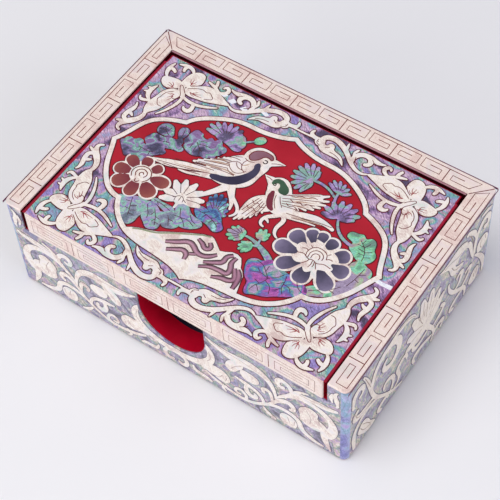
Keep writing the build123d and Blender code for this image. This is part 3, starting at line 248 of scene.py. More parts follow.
# woods, outlines, engraved lines and stains, from the walls up to the picture's finest lines
lacquerLooks = {
    "crimsonLacquer": ("#B20024", "#CA062C", 0.4, 0.15),
    # a darker cherry lacquer: painted shade on the left and back walls, seen in the shaded gaps beside the
    # lid
    "paintedShadeCherryLacquer": ("#560614", "#6C0B1C", 0.36, 0.2),
    "redLacquer": ("#A81428", "#B81E31", 0.4, 0.05),
    "maroonLacquer": ("#A60522", "#BF0C2C", 0.34, 0.3),
    "cherryLacquerEdge": ("#980628", "#AE0B36", 0.36, 0.3),
    # pale rose: a painted highlight on the back rim's red lacquered inner edge
    "lacquerLipPaintedHighlight": ("#A4707C", "#B68690", 0.4, 0.2),
    "plumLacquerJoint": ("#6A3450", "#85506C", 0.45, 0.1),
    "darkLacquerOutline": ("#4A1420", "#641F2C", 0.5, 0.05),
    "greyLacquerOutline": ("#544C64", "#6F6680", 0.4, 0.4),
    "engravedLinePigment": ("#70292A", "#8C3C38", 0.5, 0.1),
    "redVeinPigment": ("#9C2B33", "#B5434A", 0.5, 0.1),
    "brownVeinPigment": ("#4B2A36", "#66404A", 0.5, 0.1),
    "brownWallLine": ("#9C8474", "#B8A08E", 0.5, 0.1),
    "paleWallLine": ("#BFA6A4", "#D2BDB8", 0.5, 0.1),
    "left_bird_bellyStain": ("#2B2740", "#4A4660", 0.32, 0.2),
    "left_bird_capStain": ("#74283C", "#96707E", 0.32, 0.2),
    "right_bird_capStain": ("#2F4A38", "#4B6A52", 0.32, 0.2),
    "right_bird_stripeStain": ("#6E2234", "#8A3C4C", 0.32, 0.2),
    "tanFeatherStain": ("#C4A08C", "#D9BCA6", 0.45, 0.2),
    "eyeInk": ("#2C1A1E", "#43262B", 0.4, 0.2),
    "mauveStain": ("#A06C86", "#BC8EA2", 0.4, 0.2),
    "brownRockEdge": ("#6B4A50", "#86646A", 0.5, 0.1),
    "greenStain": ("#8E9A78", "#AEB492", 0.4, 0.2),
}
lacquer = {name: lacquerMaterial(name, look) for name, look in lacquerLooks.items()}
lineColour = lacquer["engravedLinePigment"]

pearl = shellMaterial("pearlOysterShell", pearlLook)
rimPearl = shellMaterial("pearlOysterRim", rimPearlLook)
abalone = shellMaterial("dyedAbaloneShell", abaloneLook)
wallAbalone = shellMaterial("dyedAbaloneWall", wallAbaloneLook)
cornerShell = shellMaterial("blueAbaloneCorner", cornerLook)
sideAbalone = shellMaterial("greyAbaloneSide", sideAbaloneLook)
creamPearl = shellMaterial("creamPearlScrolls", creamPearlLook)
palePearlAndGlint = shellMaterial("palePearlChipAndPaintedGlints", palePearlAndGlintLook)
leafShell = shellMaterial("leafAbaloneShell", leafLook)
slateShell = shellMaterial("slateAbaloneShell", dict(leafLook, shift=(3, 8, 0), colours=[
    (0.0, "#443E5A"), (0.2, "#5C5A7C"), (0.34, "#84749E"), (0.46, "#A488B8"), (0.58, "#6A8E9C"),
    (0.72, "#84BC9E"), (0.86, "#A4B4CE"), (1.0, "#8C6E9E"),
], patch=3.4))
lilacShell = shellMaterial("lilacAbaloneShell", dict(leafLook, shift=(9, 2, 0), spots=[
    (64, 53, 12, 0.1), (75, 54, 4, 0.05), (38, 53, 4, -0.03), (33, 52, 3, 0.04), (80, 48, 5, -0.01),
], colours=[
    (0.0, "#5E5474"), (0.2, "#8E78AC"), (0.36, "#B892CA"), (0.5, "#A49CCC"), (0.62, "#8CB4B4"),
    (0.78, "#8CB8A4"), (0.9, "#A8A2B4"), (1.0, "#B7A0CE"),
]))
sageShell = shellMaterial("sageAbaloneShell", dict(leafLook, shift=(0, 5, 0), spots=[
    (27, 18, 5, 0.12), (68, 25, 4, 0.02),
], colours=[
    (0.0, "#6C7888"), (0.2, "#8E90AA"), (0.36, "#9CB4B4"), (0.5, "#80C4AA"), (0.62, "#98ACBE"),
    (0.76, "#B49AC4"), (0.88, "#7A78BC"), (1.0, "#9FC4B4"),
]))
blueShell = shellMaterial("blueAbaloneShell", dict(leafLook, shift=(4, 1, 0), colours=[
    (0.0, "#2F3B66"), (0.22, "#4A6AA6"), (0.42, "#5FA6BA"), (0.56, "#6A62AE"), (0.7, "#9A6CB8"),
    (0.84, "#63A08E"), (1.0, "#A8E0E2"),
]))
magentaShell = shellMaterial("magentaAbaloneShell", dict(leafLook, shift=(6, 6, 0), spots=[
    (68, 23, 5, 0.14), (72, 18, 5, -0.04), (80, 19, 5, 0.1),
], colours=[
    (0.0, "#6A3A78"), (0.22, "#9A4FA2"), (0.4, "#BE5FAE"), (0.52, "#8C66B4"), (0.64, "#5E6FB4"),
    (0.76, "#5398B0"), (0.88, "#7FA896"), (1.0, "#B79AC0"),
]))
greenShell = shellMaterial("greenAbaloneShell", dict(leafLook, shift=(1, 9, 0), spots=[
    (88.6, 40, 5, -0.02), (92, 27, 8, 0.12), (84, 21, 7, 0.1), (58, 26.4, 3, 0.12),
], colours=[
    (0.0, "#6E9484"), (0.2, "#74B894"), (0.4, "#8CD6A4"), (0.54, "#84CEC0"), (0.68, "#B2C69A"),
    (0.82, "#B09CA4"), (1.0, "#A896B4"),
]))
# cloth linings: dark navy velvet inside, dull felt below
velvetLook = {"dark": "#0E0A1C", "light": "#241C3C", "pile": 0.35}
feltLook = {"dark": "#4A0C18", "light": "#6B1526", "pile": 0.8}


# Short pile standing up from a woven back: deep colour, soft sheen, fine uneven nap.
def pileMaterial(name, values):
    material, tree, shader, place = startMaterial(name, {
        "Roughness": 0.9, "IOR": 1.45, "Sheen Weight": 0.6, "Sheen Roughness": 0.4,
        "Specular IOR Level": 0.2,
    })
    nap = addNode(tree, "TexNoise", {
        "Vector": place, "Scale": 1 / (values["pile"] * mm), "Detail": 5.0, "Roughness": 0.7,
    }).outputs["Fac"]
    stops = [(0.3, values["dark"]), (0.72, values["light"])]
    colour = addNode(tree, "ValToRGB", {"Fac": nap}, stops=stops).outputs["Color"]
    tree.links.new(colour, shader.inputs["Base Color"])
    bump = addNode(tree, "Bump", {"Height": nap, "Strength": 0.5, "Distance": 0.15 * mm}).outputs["Normal"]
    tree.links.new(bump, shader.inputs["Normal"])
    return material


velvet = pileMaterial("navyVelvet", velvetLook)
felt = pileMaterial("maroonFelt", feltLook)

# turned brass of the pins and bushes: warm metal with faint cloudy wear
brass, tree, shader, place = startMaterial("turnedBrass", {"Metallic": 1.0, "Roughness": 0.3})
wear = addNode(tree, "TexNoise", {"Vector": place, "Scale": 1 / (0.6 * mm), "Detail": 3.0}).outputs["Fac"]
brassStops = [(0.3, "#A88443"), (0.7, "#D2B068")]
brassColour = addNode(tree, "ValToRGB", {"Fac": wear}, stops=brassStops).outputs["Color"]
tree.links.new(brassColour, shader.inputs["Base Color"])

slotLooks = {
    "lacquered_wood": lacquer["maroonLacquer"], "red_lacquer": lacquer["redLacquer"],
    "felt": felt, "velvet": velvet, "brass": brass,
    "tinted_shell": wallAbalone, "coloured_shell": leafShell,
    "dark_flower_shell": pearl, "white_shell": pearl,
}
nodeLooks = {
    "lid_shell_ground": abalone, "left_rim_band": rimPearl, "right_rim_band": rimPearl,
    "back_rim_band": rimPearl, "lid_front_band": rimPearl, "front_wall": lacquer["crimsonLacquer"],
    "upper_left_leaves": slateShell, "fan_blossoms": lilacShell, "lower_left_leaves": sageShell,
    "middle_leaves": blueShell, "lower_right_leaves": magentaShell, "right_leaves": greenShell,
    "buds": greenShell, "stems": sageShell, "corner_shell_strips": cornerShell,
    # the left and back walls take the darker lacquer as painted shade in the narrow gaps beside the lid
    "left_wall": lacquer["paintedShadeCherryLacquer"], "back_wall": lacquer["paintedShadeCherryLacquer"],
    "left_shell_ground": sideAbalone, "right_shell_ground": sideAbalone,
    "left_scroll_inlay": creamPearl, "right_scroll_inlay": creamPearl,
}
for name, node in nodes.items():
    for slot in node.material_slots:
        slot.material = nodeLooks.get(name, slotLooks[slot.material.name.split(".")[0]])
print("materials set")


# Dark line round an inlay: a copy of it, a little wider and lower.
outlineLook = {"spread": 1.4, "pressed": 0.75, "sunk": 0.03}


def addOutline(name, values):
    source = nodes[name]
    piece = bpy.data.objects.new(name + "_outline", source.data.copy())
    bpy.context.scene.collection.objects.link(piece)
    piece.data.materials.clear()
    piece.data.materials.append(values["material"])
    bpy.ops.object.select_all(action="DESELECT")
    piece.select_set(True)
    bpy.context.view_layer.objects.active = piece
    side = values["side"]
    low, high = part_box(name)
    ground = (low if side > 0 else high)[values["axis"]]
    outwards = [float(i == values["axis"]) for i in range(3)]
    bpy.ops.object.mode_set(mode="EDIT")
    bpy.ops.mesh.select_all(action="SELECT")
    bpy.ops.mesh.remove_doubles(threshold=0.002 * mm)
    bpy.ops.transform.shrink_fatten(value=values["grow"] * outlineLook["spread"] * mm)
    # pressed to a quarter of its height, and sunk until it lies just over the ground
    lowest = [ground * a for a in outwards]
    pressed = [1 - outlineLook["pressed"] * a for a in outwards]
    bpy.ops.transform.resize(value=pressed, center_override=lowest)
    bpy.ops.transform.translate(value=[-side * outlineLook["sunk"] * mm * a for a in outwards])
    bpy.ops.object.mode_set(mode="OBJECT")
    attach(piece, values["body"])
    return piece


# the lid's inlays lie wholly above its boards and rise over its shell ground
overBoards, overGround = 35.4 * mm, 35.55 * mm
lidInlays = []
for name in frame["record"]["behaviour"]["bodies"]["lid"]:
    low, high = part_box(name)
    if low.z > overBoards and high.z > overGround:
        lidInlays.append(name)
lidLine, wallLine = lacquer["darkLacquerOutline"], lacquer["greyLacquerOutline"]
for name in lidInlays:
    addOutline(name, {"grow": 0.26, "axis": 2, "side": 1, "material": lidLine, "body": "lid"})
for name, axis, side, grow in (("front_scroll_inlay", 1, -1, 0.14), ("back_scroll_inlay", 1, 1, 0.14),
                               ("left_scroll_inlay", 0, -1, 0.22), ("right_scroll_inlay", 0, 1, 0.22)):
    addOutline(name, {"grow": grow, "axis": axis, "side": side, "material": wallLine, "body": "box"})
print("outlines added:", len(lidInlays) + 4)


# Each line is a list of (x, y) or (x, y, width), drawn flat at height 0 for setOn() to lay on a surface.
def drawCurve(name, lines, width, smooth, settings):
    bpy.ops.object.select_all(action="DESELECT")
    bpy.ops.curve.primitive_nurbs_path_add(location=(0, 0, 0))
    piece = bpy.context.object
    piece.name = name
    curve = piece.data
    curve.splines.clear()
    for setting, value in settings.items():
        setattr(curve, setting, value)
    for line in lines:
        spline = curve.splines.new("BEZIER" if smooth else "POLY")
        points = spline.bezier_points if smooth else spline.points
        points.add(len(line) - 1)
        for point, spot in zip(points, line):
            at = (spot[0] * mm, spot[1] * mm, 0.0)
            point.co = at if smooth else at + (1.0,)
            point.radius = spot[2] if len(spot) > 2 else width
            if smooth:
                point.handle_left_type = "AUTO"
                point.handle_right_type = "AUTO"
    return piece


def meshOf(piece, material):
    piece.data.materials.append(material)
    bpy.ops.object.convert(target="MESH")
    bpy.ops.object.mode_set(mode="EDIT")
    bpy.ops.mesh.select_all(action="SELECT")


# engraved lines: round strokes, pressed almost flat
strokeHeight = 0.06


def drawStrokes(name, lines, width, smooth, material):
    piece = drawCurve(name, lines, width, smooth, {
        "dimensions": "3D", "bevel_depth": 0.5 * mm, "bevel_resolution": 0, "use_fill_caps": True,
        "resolution_u": 4,
    })
    if smooth:
        for spline in piece.data.splines:
            spline.radius_interpolation = "CARDINAL"
    meshOf(piece, material)
    bpy.ops.transform.resize(value=(1.0, 1.0, strokeHeight), center_override=(0, 0, 0))
    bpy.ops.mesh.normals_make_consistent(inside=False)
    bpy.ops.object.mode_set(mode="OBJECT")
    return piece


# filled shapes: closed smooth outlines, as thin as a chip of shell
thinChip = 0.06


def drawShapes(name, outlines, thickness, material, smooth=True):
    piece = drawCurve(name, outlines, 1.0, smooth, {
        "dimensions": "2D", "fill_mode": "BOTH", "extrude": thickness / 2 * mm, "resolution_u": 5,
    })
    for spline in piece.data.splines:
        spline.use_cyclic_u = True
    meshOf(piece, material)
    bpy.ops.mesh.remove_doubles(threshold=0.001 * mm)
    bpy.ops.mesh.normals_make_consistent(inside=False)
    bpy.ops.object.mode_set(mode="OBJECT")
    bpy.ops.object.shade_flat()
    return piece


# moves a drawn piece to its place through its mesh, and keeps its faces outwards
def placed(piece, matrix):
    piece.data.transform(matrix)
    if matrix.determinant() < 0:
        piece.data.flip_normals()
    piece.data.update()
    return piece


def setOn(piece, matrix, body):
    placed(piece, matrix)
    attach(piece, body)
    return piece


# from a drawing onto a side wall, and onto the front or back; the turn of -1 mirrors it
boxHalf, boxBack, boxTop = 55 * mm, 37.75 * mm, 36 * mm


def onSideWall(side, shift=0.0):
    return Matrix(((0, 0, side, side * boxHalf), (1, 0, 0, shift * mm), (0, 1, 0, 0), (0, 0, 0, 1)))


def onFront(turn, across, up=0.0, depth=-boxBack):
    return Matrix(((turn, 0, 0, across * mm), (0, 0, -1, depth), (0, 1, 0, up * mm), (0, 0, 0, 1)))


def joinPieces(pieces, name):
    bpy.ops.object.select_all(action="DESELECT")
    for piece in pieces:
        piece.select_set(True)
    bpy.context.view_layer.objects.active = pieces[0]
    bpy.ops.object.join()
    pieces[0].name = name
    return pieces[0]


def copyOf(piece, name=None):
    twin = piece.copy()
    twin.data = piece.data.copy()
    twin.name = name or twin.name
    bpy.context.scene.collection.objects.link(twin)
    return twin


# Key fret on the rims: two facing spirals share a top line and a dividing line.
rimFret = {
    "width": 0.27, "outer": 1.3, "middle": 2.8, "inner": 4.45, "rim": 6.0,
    "near": 1.7, "sideReach": 8.1, "sideTurn": 5.7, "sidePitch": 17.55, "sideFirst": -28.0,
    "backReach": 7.5, "backTurn": 5.3, "backPitch": 16.35, "cut": 2.3,
}


def fretSpiral(reach, turn, slant):
    near, outer, middle, inner = rimFret["near"], rimFret["outer"], rimFret["middle"], rimFret["inner"]
    end = reach + slant
    return [(0, outer), (end, outer), (reach, inner), (near, inner), (near, middle), (turn, middle)]


def drawFret(name, side, slant):
    reach, turn = rimFret[side + "Reach"], rimFret[side + "Turn"]
    left = [(-x, y) for x, y in fretSpiral(reach, turn, 0)]
    divider = [(0, rimFret["outer"]), (0, rimFret["rim"] - 0.15)]
    lines = [left, fretSpiral(reach, turn, slant), divider]
    return drawStrokes(name, lines, rimFret["width"], False, lineColour)


# the last pair of each rim is cut on a slant by the miter
sidePair, sideEnd = drawFret("rim_fret", "side", 0), drawFret("rim_fret_end", "side", rimFret["cut"])
backPair, backEnd = drawFret("back_fret", "back", 0), drawFret("back_fret_end", "back", rimFret["cut"])
miterLine = drawStrokes("miter_line", [[(0.9, 0.9), (5.9, 5.9)]], rimFret["width"], False, lineColour)
for name, side in (("right_rim_fret", 1), ("left_rim_fret", -1)):
    parts = []
    for index in range(4):
        # along the rim becomes Y, across the rim becomes inwards
        middle = (rimFret["sideFirst"] + index * rimFret["sidePitch"]) * mm
        place = Matrix(((0, -side, 0, side * boxHalf), (1, 0, 0, middle), (0, 0, 1, boxTop), (0, 0, 0, 1)))
        parts.append(placed(copyOf(sideEnd if index == 3 else sidePair), place))
    corner = Matrix.Translation((side * boxHalf, boxBack, boxTop)) @ Matrix.Diagonal((-side, -1, 1, 1))
    parts.append(placed(copyOf(miterLine), corner))
    setOn(joinPieces(parts, name), Matrix(), "box")
parts = []
for index in range(6):
    middle = (index - 2.5) * rimFret["backPitch"] * mm
    mirrorX = -1 if index == 0 else 1
    place = Matrix.Translation((middle, boxBack, boxTop)) @ Matrix.Diagonal((mirrorX, -1, 1, 1))
    parts.append(placed(copyOf(backEnd if index in (0, 5) else backPair), place))
setOn(joinPieces(parts, "back_rim_fret"), Matrix(), "box")

# Deeper fret on the lid's front band: five lines high, with upright bars between the spirals.
bandFret = {
    "width": 0.2, "pitch": 15.75, "reach": 6.0, "second": 4.2, "third": 2.4,
    "high": 2.6, "half": 1.3, "bar": 7.85,
}
bar, high, half = bandFret["bar"], bandFret["high"], bandFret["half"]
reach, second, third = bandFret["reach"], bandFret["second"], bandFret["third"]
bandSpiral = [
    (-bar, -high - 0.6), (-bar, high), (reach, high), (reach, -high), (-reach, -high), (-reach, half),
    (second, half), (second, -half), (-second, -half), (-second, 0), (third, 0),
]
bandUnit = drawStrokes("band_fret", [bandSpiral], bandFret["width"], False, lineColour)
parts = []
for index in range(6):
    place = onFront(1 if index % 2 else -1, (index - 2.5) * bandFret["pitch"], 31.5)
    parts.append(placed(copyOf(bandUnit), place))
setOn(joinPieces(parts, "lid_band_fret"), Matrix(), "lid")
bpy.ops.object.select_all(action="DESELECT")
for spare in (sidePair, sideEnd, backPair, backEnd, miterLine, bandUnit):
    spare.select_set(True)
bpy.ops.object.delete()
print("frets drawn")


# Sets a piece of the drawing down on the lid. The heights differ by hundredths of a millimetre,
# so that pieces that cross never lie in one plane.
def onLid(piece, height=inlayTop):
    return setOn(piece, Matrix.Translation((-middleX * mm, -middleY * mm, height * mm)), "lid")


# the other corners mirror the front left one about the lid's middle, a little in front of the box's
lidMiddle = 3.75 * mm


def mirrorToCorners(first, ending):
    toMiddle = Matrix.Translation((0, lidMiddle, 0))
    for corner, across, along in (("front_right", -1, 1), ("back_left", 1, -1), ("back_right", -1, -1)):
        twin = copyOf(first, corner + ending)
        setOn(twin, toMiddle.inverted() @ Matrix.Diagonal((across, along, 1, 1)) @ toMiddle, "lid")


# butterfly of the front left corner: wing lines, veins and body
butterflyLines = {
    "fine": [
        [(15.2, 12), (14, 13), (13.3, 14.4), (13.2, 15.6), (12.9, 16.4), (13.4, 17.5), (14.2, 18.4),
         (15.4, 18.5)],
        [(15.9, 13.4), (16.0, 14.1), (16.8, 14.3), (17.4, 13.7), (17.7, 12.6)],
        [(18.0, 9), (19.4, 8.1), (20.8, 7.4), (22.2, 7.1), (23.3, 7.4), (24.4, 7.1), (25.4, 7.7),
         (26.2, 8.6), (25.4, 9.3), (24.2, 9.8)],
        [(15.5, 9.2), (16.4, 10.6), (17.4, 11.8), (17.9, 12.9)],
        [(15.5, 9.2), (15.8, 8.8), (16.6, 9.2), (17.5, 10), (18.3, 10.9)],
        [(11.4, 11.9), (13.2, 11.8), (14.2, 11.4), (15, 10.8)], [(18.2, 7.9), (19.4, 7.1), (20.3, 6.1)],
    ],
    "veins": [
        [(16.0, 12.8, 0.2), (15.6, 13.4, 0.2), (15.1, 13.5, 0.12)],
        [(16.0, 13.4, 0.22), (15.4, 14.2, 0.2), (14.9, 14.9, 0.12)],
        [(15.9, 12.9, 0.22), (15.0, 13.0, 0.2), (14.2, 13.6, 0.12)],
        [(16.2, 13.6, 0.22), (15.9, 14.8, 0.2), (15.5, 15.7, 0.12)],
        [(19.4, 9.8, 0.2), (20.6, 10.0, 0.26), (23.5, 9.8, 0.12)],
        [(20.4, 9.9, 0.26), (21.4, 9.6, 0.2), (22.6, 9.0, 0.12)],
        [(20.2, 9.8, 0.26), (20.8, 9.2, 0.2), (21.4, 8.6, 0.12)],
        [(19.3, 9.8, 0.2), (20.2, 10.4, 0.2), (21.2, 10.5, 0.12)],
        [(14.4, 10.9, 0.2), (13.7, 10.9, 0.26), (12.1, 10.8, 0.12)],
        [(13.9, 10.7, 0.26), (13.0, 10.2, 0.2), (11.9, 9.9, 0.12)],
        [(13.8, 10.5, 0.26), (13.6, 9.8, 0.2), (12.8, 9.3, 0.12)],
        [(14.0, 11.0, 0.2), (13.4, 11.5, 0.2), (12.6, 11.5, 0.12)],
        [(18.0, 7.8, 0.2), (17.9, 6.9, 0.26), (17.7, 5.2, 0.12)],
        [(17.9, 7.0, 0.26), (17.3, 6.6, 0.2), (16.9, 5.6, 0.12)],
        [(18.0, 6.9, 0.26), (18.5, 6.4, 0.2), (18.7, 5.4, 0.12)],
        [(17.9, 7.2, 0.26), (18.6, 7.2, 0.2), (19.3, 6.5, 0.12)],
    ],
}
fineLines = drawStrokes("butterfly_lines", butterflyLines["fine"], 0.22, True, lineColour)
veinLines = drawStrokes("butterfly_veins", butterflyLines["veins"], 0.3, True, lacquer["redVeinPigment"])
first = joinPieces([fineLines, veinLines], "front_left_butterfly_lines")
onLid(first, inlayTop + 0.005)
mirrorToCorners(first, "_butterfly_lines")
vineLines = [
    [(47.9, 6.4), (49.2, 5.8), (49.3, 4.6)], [(45.2, 5.5), (46.3, 6.2)],
    [(35.6, 6.6), (36.8, 5.9), (37.3, 4.6)], [(38.0, 3.5), (37.3, 2.3)],
    [(31.2, 4.4), (32.4, 3.4), (33.0, 3.0)], [(40.4, 7.9), (42.4, 7.1), (44.4, 6.9)],
]
vineFirst = drawStrokes("front_left_vine_lines", vineLines, 0.2, True, lineColour)
onLid(vineFirst, inlayTop + 0.005)
mirrorToCorners(vineFirst, "_vine_lines")
print("butterflies and vines engraved")

edgeLook = {
    "lidHeight": 35.44, "lipHeight": 35.9, "lipWidth": 0.76, "jointHeight": 35.54, "jointWidth": 0.84,
}
# Red lacquer left bare round the lid's shell. Its strips are narrow at the back, so that they
# pass inside the linings there when the lid swings down.
lidEdge = drawStrokes("lid_lacquer_edge", [
    [(-48.0, -37.3, 1.15), (-48.0, 27.4, 1.15)], [(48.0, -37.3, 1.15), (48.0, 27.4, 1.15)],
    [(-47.6, 27.4, 0.7), (-47.6, 30.4, 0.7)], [(47.6, 27.4, 0.7), (47.6, 30.4, 0.7)],
    [(-47.5, 30.2, 0.5), (47.5, 30.2, 0.5)], [(-47.5, -37.2, 0.36), (47.5, -37.2, 0.36)],
], 0.5, False, lacquer["cherryLacquerEdge"])
# the rim's lacquered inner edge, clear of the lid's swing; its pale rose tone is a painted highlight on the
# red lacquer
lipLine, rose = [[(-48.6, 31.4), (48.6, 31.4)]], lacquer["lacquerLipPaintedHighlight"]
rimLip = drawStrokes("back_rim_lacquer_lip", lipLine, edgeLook["lipWidth"], False, rose)
setOn(rimLip, Matrix.Translation((0, 0, edgeLook["lipHeight"] * mm)), "box")
setOn(lidEdge, Matrix.Translation((0, 0, edgeLook["lidHeight"] * mm)), "lid")


# plum lacquer on the rims' outer edges
def drawJoint(name, reach):
    jointLine = [[(-reach, edgeLook["jointHeight"]), (reach, edgeLook["jointHeight"])]]
    return drawStrokes(name, jointLine, edgeLook["jointWidth"], False, lacquer["plumLacquerJoint"])


sideJoint = drawJoint("right_rim_joint", 37.6)
leftJoint = copyOf(sideJoint, "left_rim_joint")
backJoint = drawJoint("back_rim_joint", 54.8)
setOn(sideJoint, onSideWall(1), "box")
setOn(leftJoint, onSideWall(-1), "box")
setOn(backJoint, onFront(1, 0, depth=boxBack), "box")

# Flowers: a dark cell inside each petal's rim, and a peony or a spiral in the middle. A petal is
# its angle, its distance from the middle, and half its length and width.
flowerCells = {
    "left": {
        "centre": (25.3, 28.8), "rim": 0.62, "inner": 0.5,
        "petals": [
            (103, 4.4, 2.3, 2.2), (52, 4.7, 2.2, 2.1), (5, 6.2, 3.2, 2.5), (-36, 6.0, 3.2, 2.8),
            (-82, 5.2, 3.3, 2.5), (-129, 5.7, 3.1, 2.7), (191, 5.6, 2.9, 2.5), (150, 5.1, 2.9, 2.3),
        ],
    },
    "right": {
        "centre": (80.3, 31), "rim": 0.66, "inner": 1.4,
        "petals": [
            (156, 8.2, 2.8, 2.8), (127, 7.6, 2.2, 2.3), (105, 6.9, 2.2, 2.2), (76, 6.3, 2.3, 2.3),
            (35, 7.0, 2.9, 2.7), (0, 7.9, 2.8, 2.8), (-39, 7.9, 3.5, 2.8), (-90, 6.3, 3.2, 2.9),
            (-137, 7.3, 3.6, 2.7), (-172, 8.8, 3.2, 2.8),
        ],
    },
}


def petalCell(centre, angle, distance, halfLong, halfWide, rim, inner):
    spots = []
    shape = ((-inner - halfLong + rim, 0.0), (-0.55 * halfLong, 0.72), (0.15 * halfLong, 1.0),
             (0.7 * (halfLong - rim), 0.82), (halfLong - rim, 0.0))
    upper = [(x, y * (halfWide - rim)) for x, y in shape]
    lower = [(x, -y) for x, y in upper[-2:0:-1]]
    turn = radians(angle)
    for x, y in upper + lower:
        x += distance
        spots.append((centre[0] + x * cos(turn) - y * sin(turn), centre[1] + x * sin(turn) + y * cos(turn)))
    return spots


# Dark stained shell that fades towards the flower's middle, with fine growth lines.
def cellMaterial(name, centre, reach, stops):
    material, tree, shader, place = startMaterial(name, {
        "Roughness": 0.34, "IOR": 1.53, "Coat Weight": 0.2, "Coat Roughness": 0.08,
    })
    middle = {0: place, 1: fromDrawing(*centre)}
    away = addNode(tree, "VectorMath", middle, operation="DISTANCE").outputs["Value"]
    fine = {"Vector": place, "Scale": 1 / (1.4 * mm), "Detail": 3.0}
    mottle = addNode(tree, "TexNoise", fine).outputs["Fac"]
    share = addNode(tree, "MapRange", {
        "Value": away, "From Min": reach[0] * mm, "From Max": reach[1] * mm, "To Min": 0.0, "To Max": 0.8,
    }).outputs["Result"]
    mixed = addNode(tree, "Math", {0: mottle, 1: 0.35, 2: share}, operation="MULTIPLY_ADD").outputs[0]
    colour = addNode(tree, "ValToRGB", {"Fac": mixed}, stops=stops).outputs["Color"]
    tree.links.new(colour, shader.inputs["Base Color"])
    relief = {"Height": mottle, "Strength": 0.1, "Distance": 0.05 * mm}
    bump = addNode(tree, "Bump", relief).outputs["Normal"]
    tree.links.new(bump, shader.inputs["Normal"])
    return material


brownCell = cellMaterial("brownStainedShell", flowerCells["left"]["centre"], (3.0, 9.0), [
    (0.0, "#6A2028"), (0.35, "#82303A"), (0.7, "#8E4340"), (1.0, "#A25A50")])
violetCell = cellMaterial("violetStainedShell", flowerCells["right"]["centre"], (4.5, 11.5), [
    (0.0, "#2E2A40"), (0.35, "#4A445E"), (0.7, "#6E6482"), (1.0, "#8C82A0")])
for side, flower in flowerCells.items():
    cells = [
        petalCell(flower["centre"], *petal, flower["rim"], flower["inner"]) for petal in flower["petals"]
    ]
    piece = drawShapes(side + "_flower_cells", cells, thinChip, brownCell if side == "left" else violetCell)
    onLid(piece, inlayTop)

hearts = {
    "peony": [
        (77.0, 34.6), (78.2, 35.5), (79.3, 35.0), (80.4, 35.6), (81.6, 35.0), (82.8, 35.4),
        (84.0, 34.9), (85.6, 34.0), (86.4, 32.6), (85.0, 31.6), (86.2, 30.4), (85.2, 29.2),
        (83.2, 28.4), (82.0, 27.6), (81.4, 26.7), (80.3, 26.0), (79.2, 26.8), (78.4, 27.8),
        (76.4, 27.5), (74.9, 28.6), (75.6, 30.0), (74.4, 31.4), (74.3, 32.8), (75.4, 33.8), (76.4, 33.6),
    ],
    "peonyLines": [
        [(77.9, 30.2), (77.6, 32.2), (78.8, 34.0), (80.6, 34.3), (82.4, 33.6), (83.2, 32.0)],
        [(78.6, 30.2), (78.5, 32.0), (79.5, 33.2), (80.9, 33.3), (82.1, 32.4), (82.3, 31.2)],
        [(79.4, 30.4), (79.4, 31.8), (80.3, 32.4), (81.3, 31.9), (81.4, 30.9)],
        [(75.4, 30.2), (77.2, 30.7), (79.0, 29.9), (80.2, 30.2), (81.6, 29.8), (83.4, 30.5),
         (85.6, 30.3)],
        [(78.2, 27.9), (79.0, 28.9), (79.4, 30.0)], [(82.4, 28.1), (81.8, 29.0), (81.3, 29.9)],
        [(80.3, 30.0), (80.5, 28.8), (80.3, 27.6)], [(80.9, 29.9), (81.2, 29.0), (81.2, 28.2)],
        [(75.8, 32.0), (76.8, 32.4), (77.6, 32.2)], [(84.8, 32.6), (83.8, 32.6), (83.1, 32.1)],
        [(77.4, 33.9), (78.2, 33.4)], [(83.4, 34.2), (82.8, 33.6)],
    ],
    "spiral": [
        [(27.2, 26.6), (28.3, 28.6), (27.6, 30.6), (25.6, 31.5), (23.5, 30.7), (22.6, 28.7),
         (23.4, 26.9)],
        [(24.4, 27.6), (23.7, 29.0), (24.6, 30.3), (26.0, 30.4), (27.0, 29.3), (26.6, 28.1)],
        [(25.4, 28.0), (24.9, 28.9), (25.6, 29.5), (26.1, 29.0)],
        [(24.9, 26.9), (25.4, 25.9), (26.3, 26.6)],
    ],
    "spiralRing": [[
        (25.3 + 3.15 * cos(radians(a)), 28.8 + 3.15 * sin(radians(a))) for a in range(0, 360, 40)
    ]],
}
heart = drawShapes("left_flower_heart", hearts["spiralRing"], thinChip, pearl)
onLid(heart, inlayTop + 0.04)
onLid(drawStrokes("left_flower_spiral", hearts["spiral"], 0.3, True, lineColour), inlayTop + 0.07)
onLid(drawShapes("peony", [hearts["peony"]], thinChip, pearl), inlayTop + 0.04)
onLid(drawStrokes("peony_lines", hearts["peonyLines"], 0.24, True, lineColour), inlayTop + 0.07)
print("flowers filled")

# birds: dark belly, caps, a stripe, eyes and feather lines
birdShapes = {
    "left_bird_belly": [[
        (41.3, 38.9), (42.6, 39.8), (44.2, 40.2), (46, 41), (47.6, 42.2), (49, 43.8), (49.9, 45.4),
        (50.2, 46.8), (49.8, 48.2), (50.6, 49.2), (51.7, 48), (52.2, 46), (51.8, 43.6), (50.6, 41.2),
        (48.9, 39.5), (46.8, 38.5), (44, 38.0), (41.8, 38.1),
    ]],
    "left_bird_cap": [[
        (46.6, 50), (46.9, 51.7), (48.5, 53.1), (50.9, 53.5), (52.7, 52.9), (53.0, 51.9), (51.6, 52.1),
        (50.4, 51.6), (49.9, 50.6), (49.0, 49.6), (47.7, 49.0),
    ]],
    "right_bird_cap": [[
        (57.0, 46.0), (57.4, 47.2), (58.9, 47.8), (60.8, 47.1), (62.6, 45.6), (62.6, 44.2), (61.0, 43.7),
        (59.9, 44.4), (59.7, 45.6), (58.8, 46.3), (58.3, 45.9), (57.6, 45.2),
    ]],
    "right_bird_stripe": [[
        (59.1, 43.6), (59.9, 42.6), (60.7, 40.8), (61.6, 39.2), (62.4, 37.8), (61.2, 37.7), (59.8, 38.8),
        (58.9, 40.4), (58.5, 42.2),
    ]],
}
for name, outlines in birdShapes.items():
    onLid(drawShapes(name, outlines, thinChip, lacquer[name + "Stain"]), inlayTop)
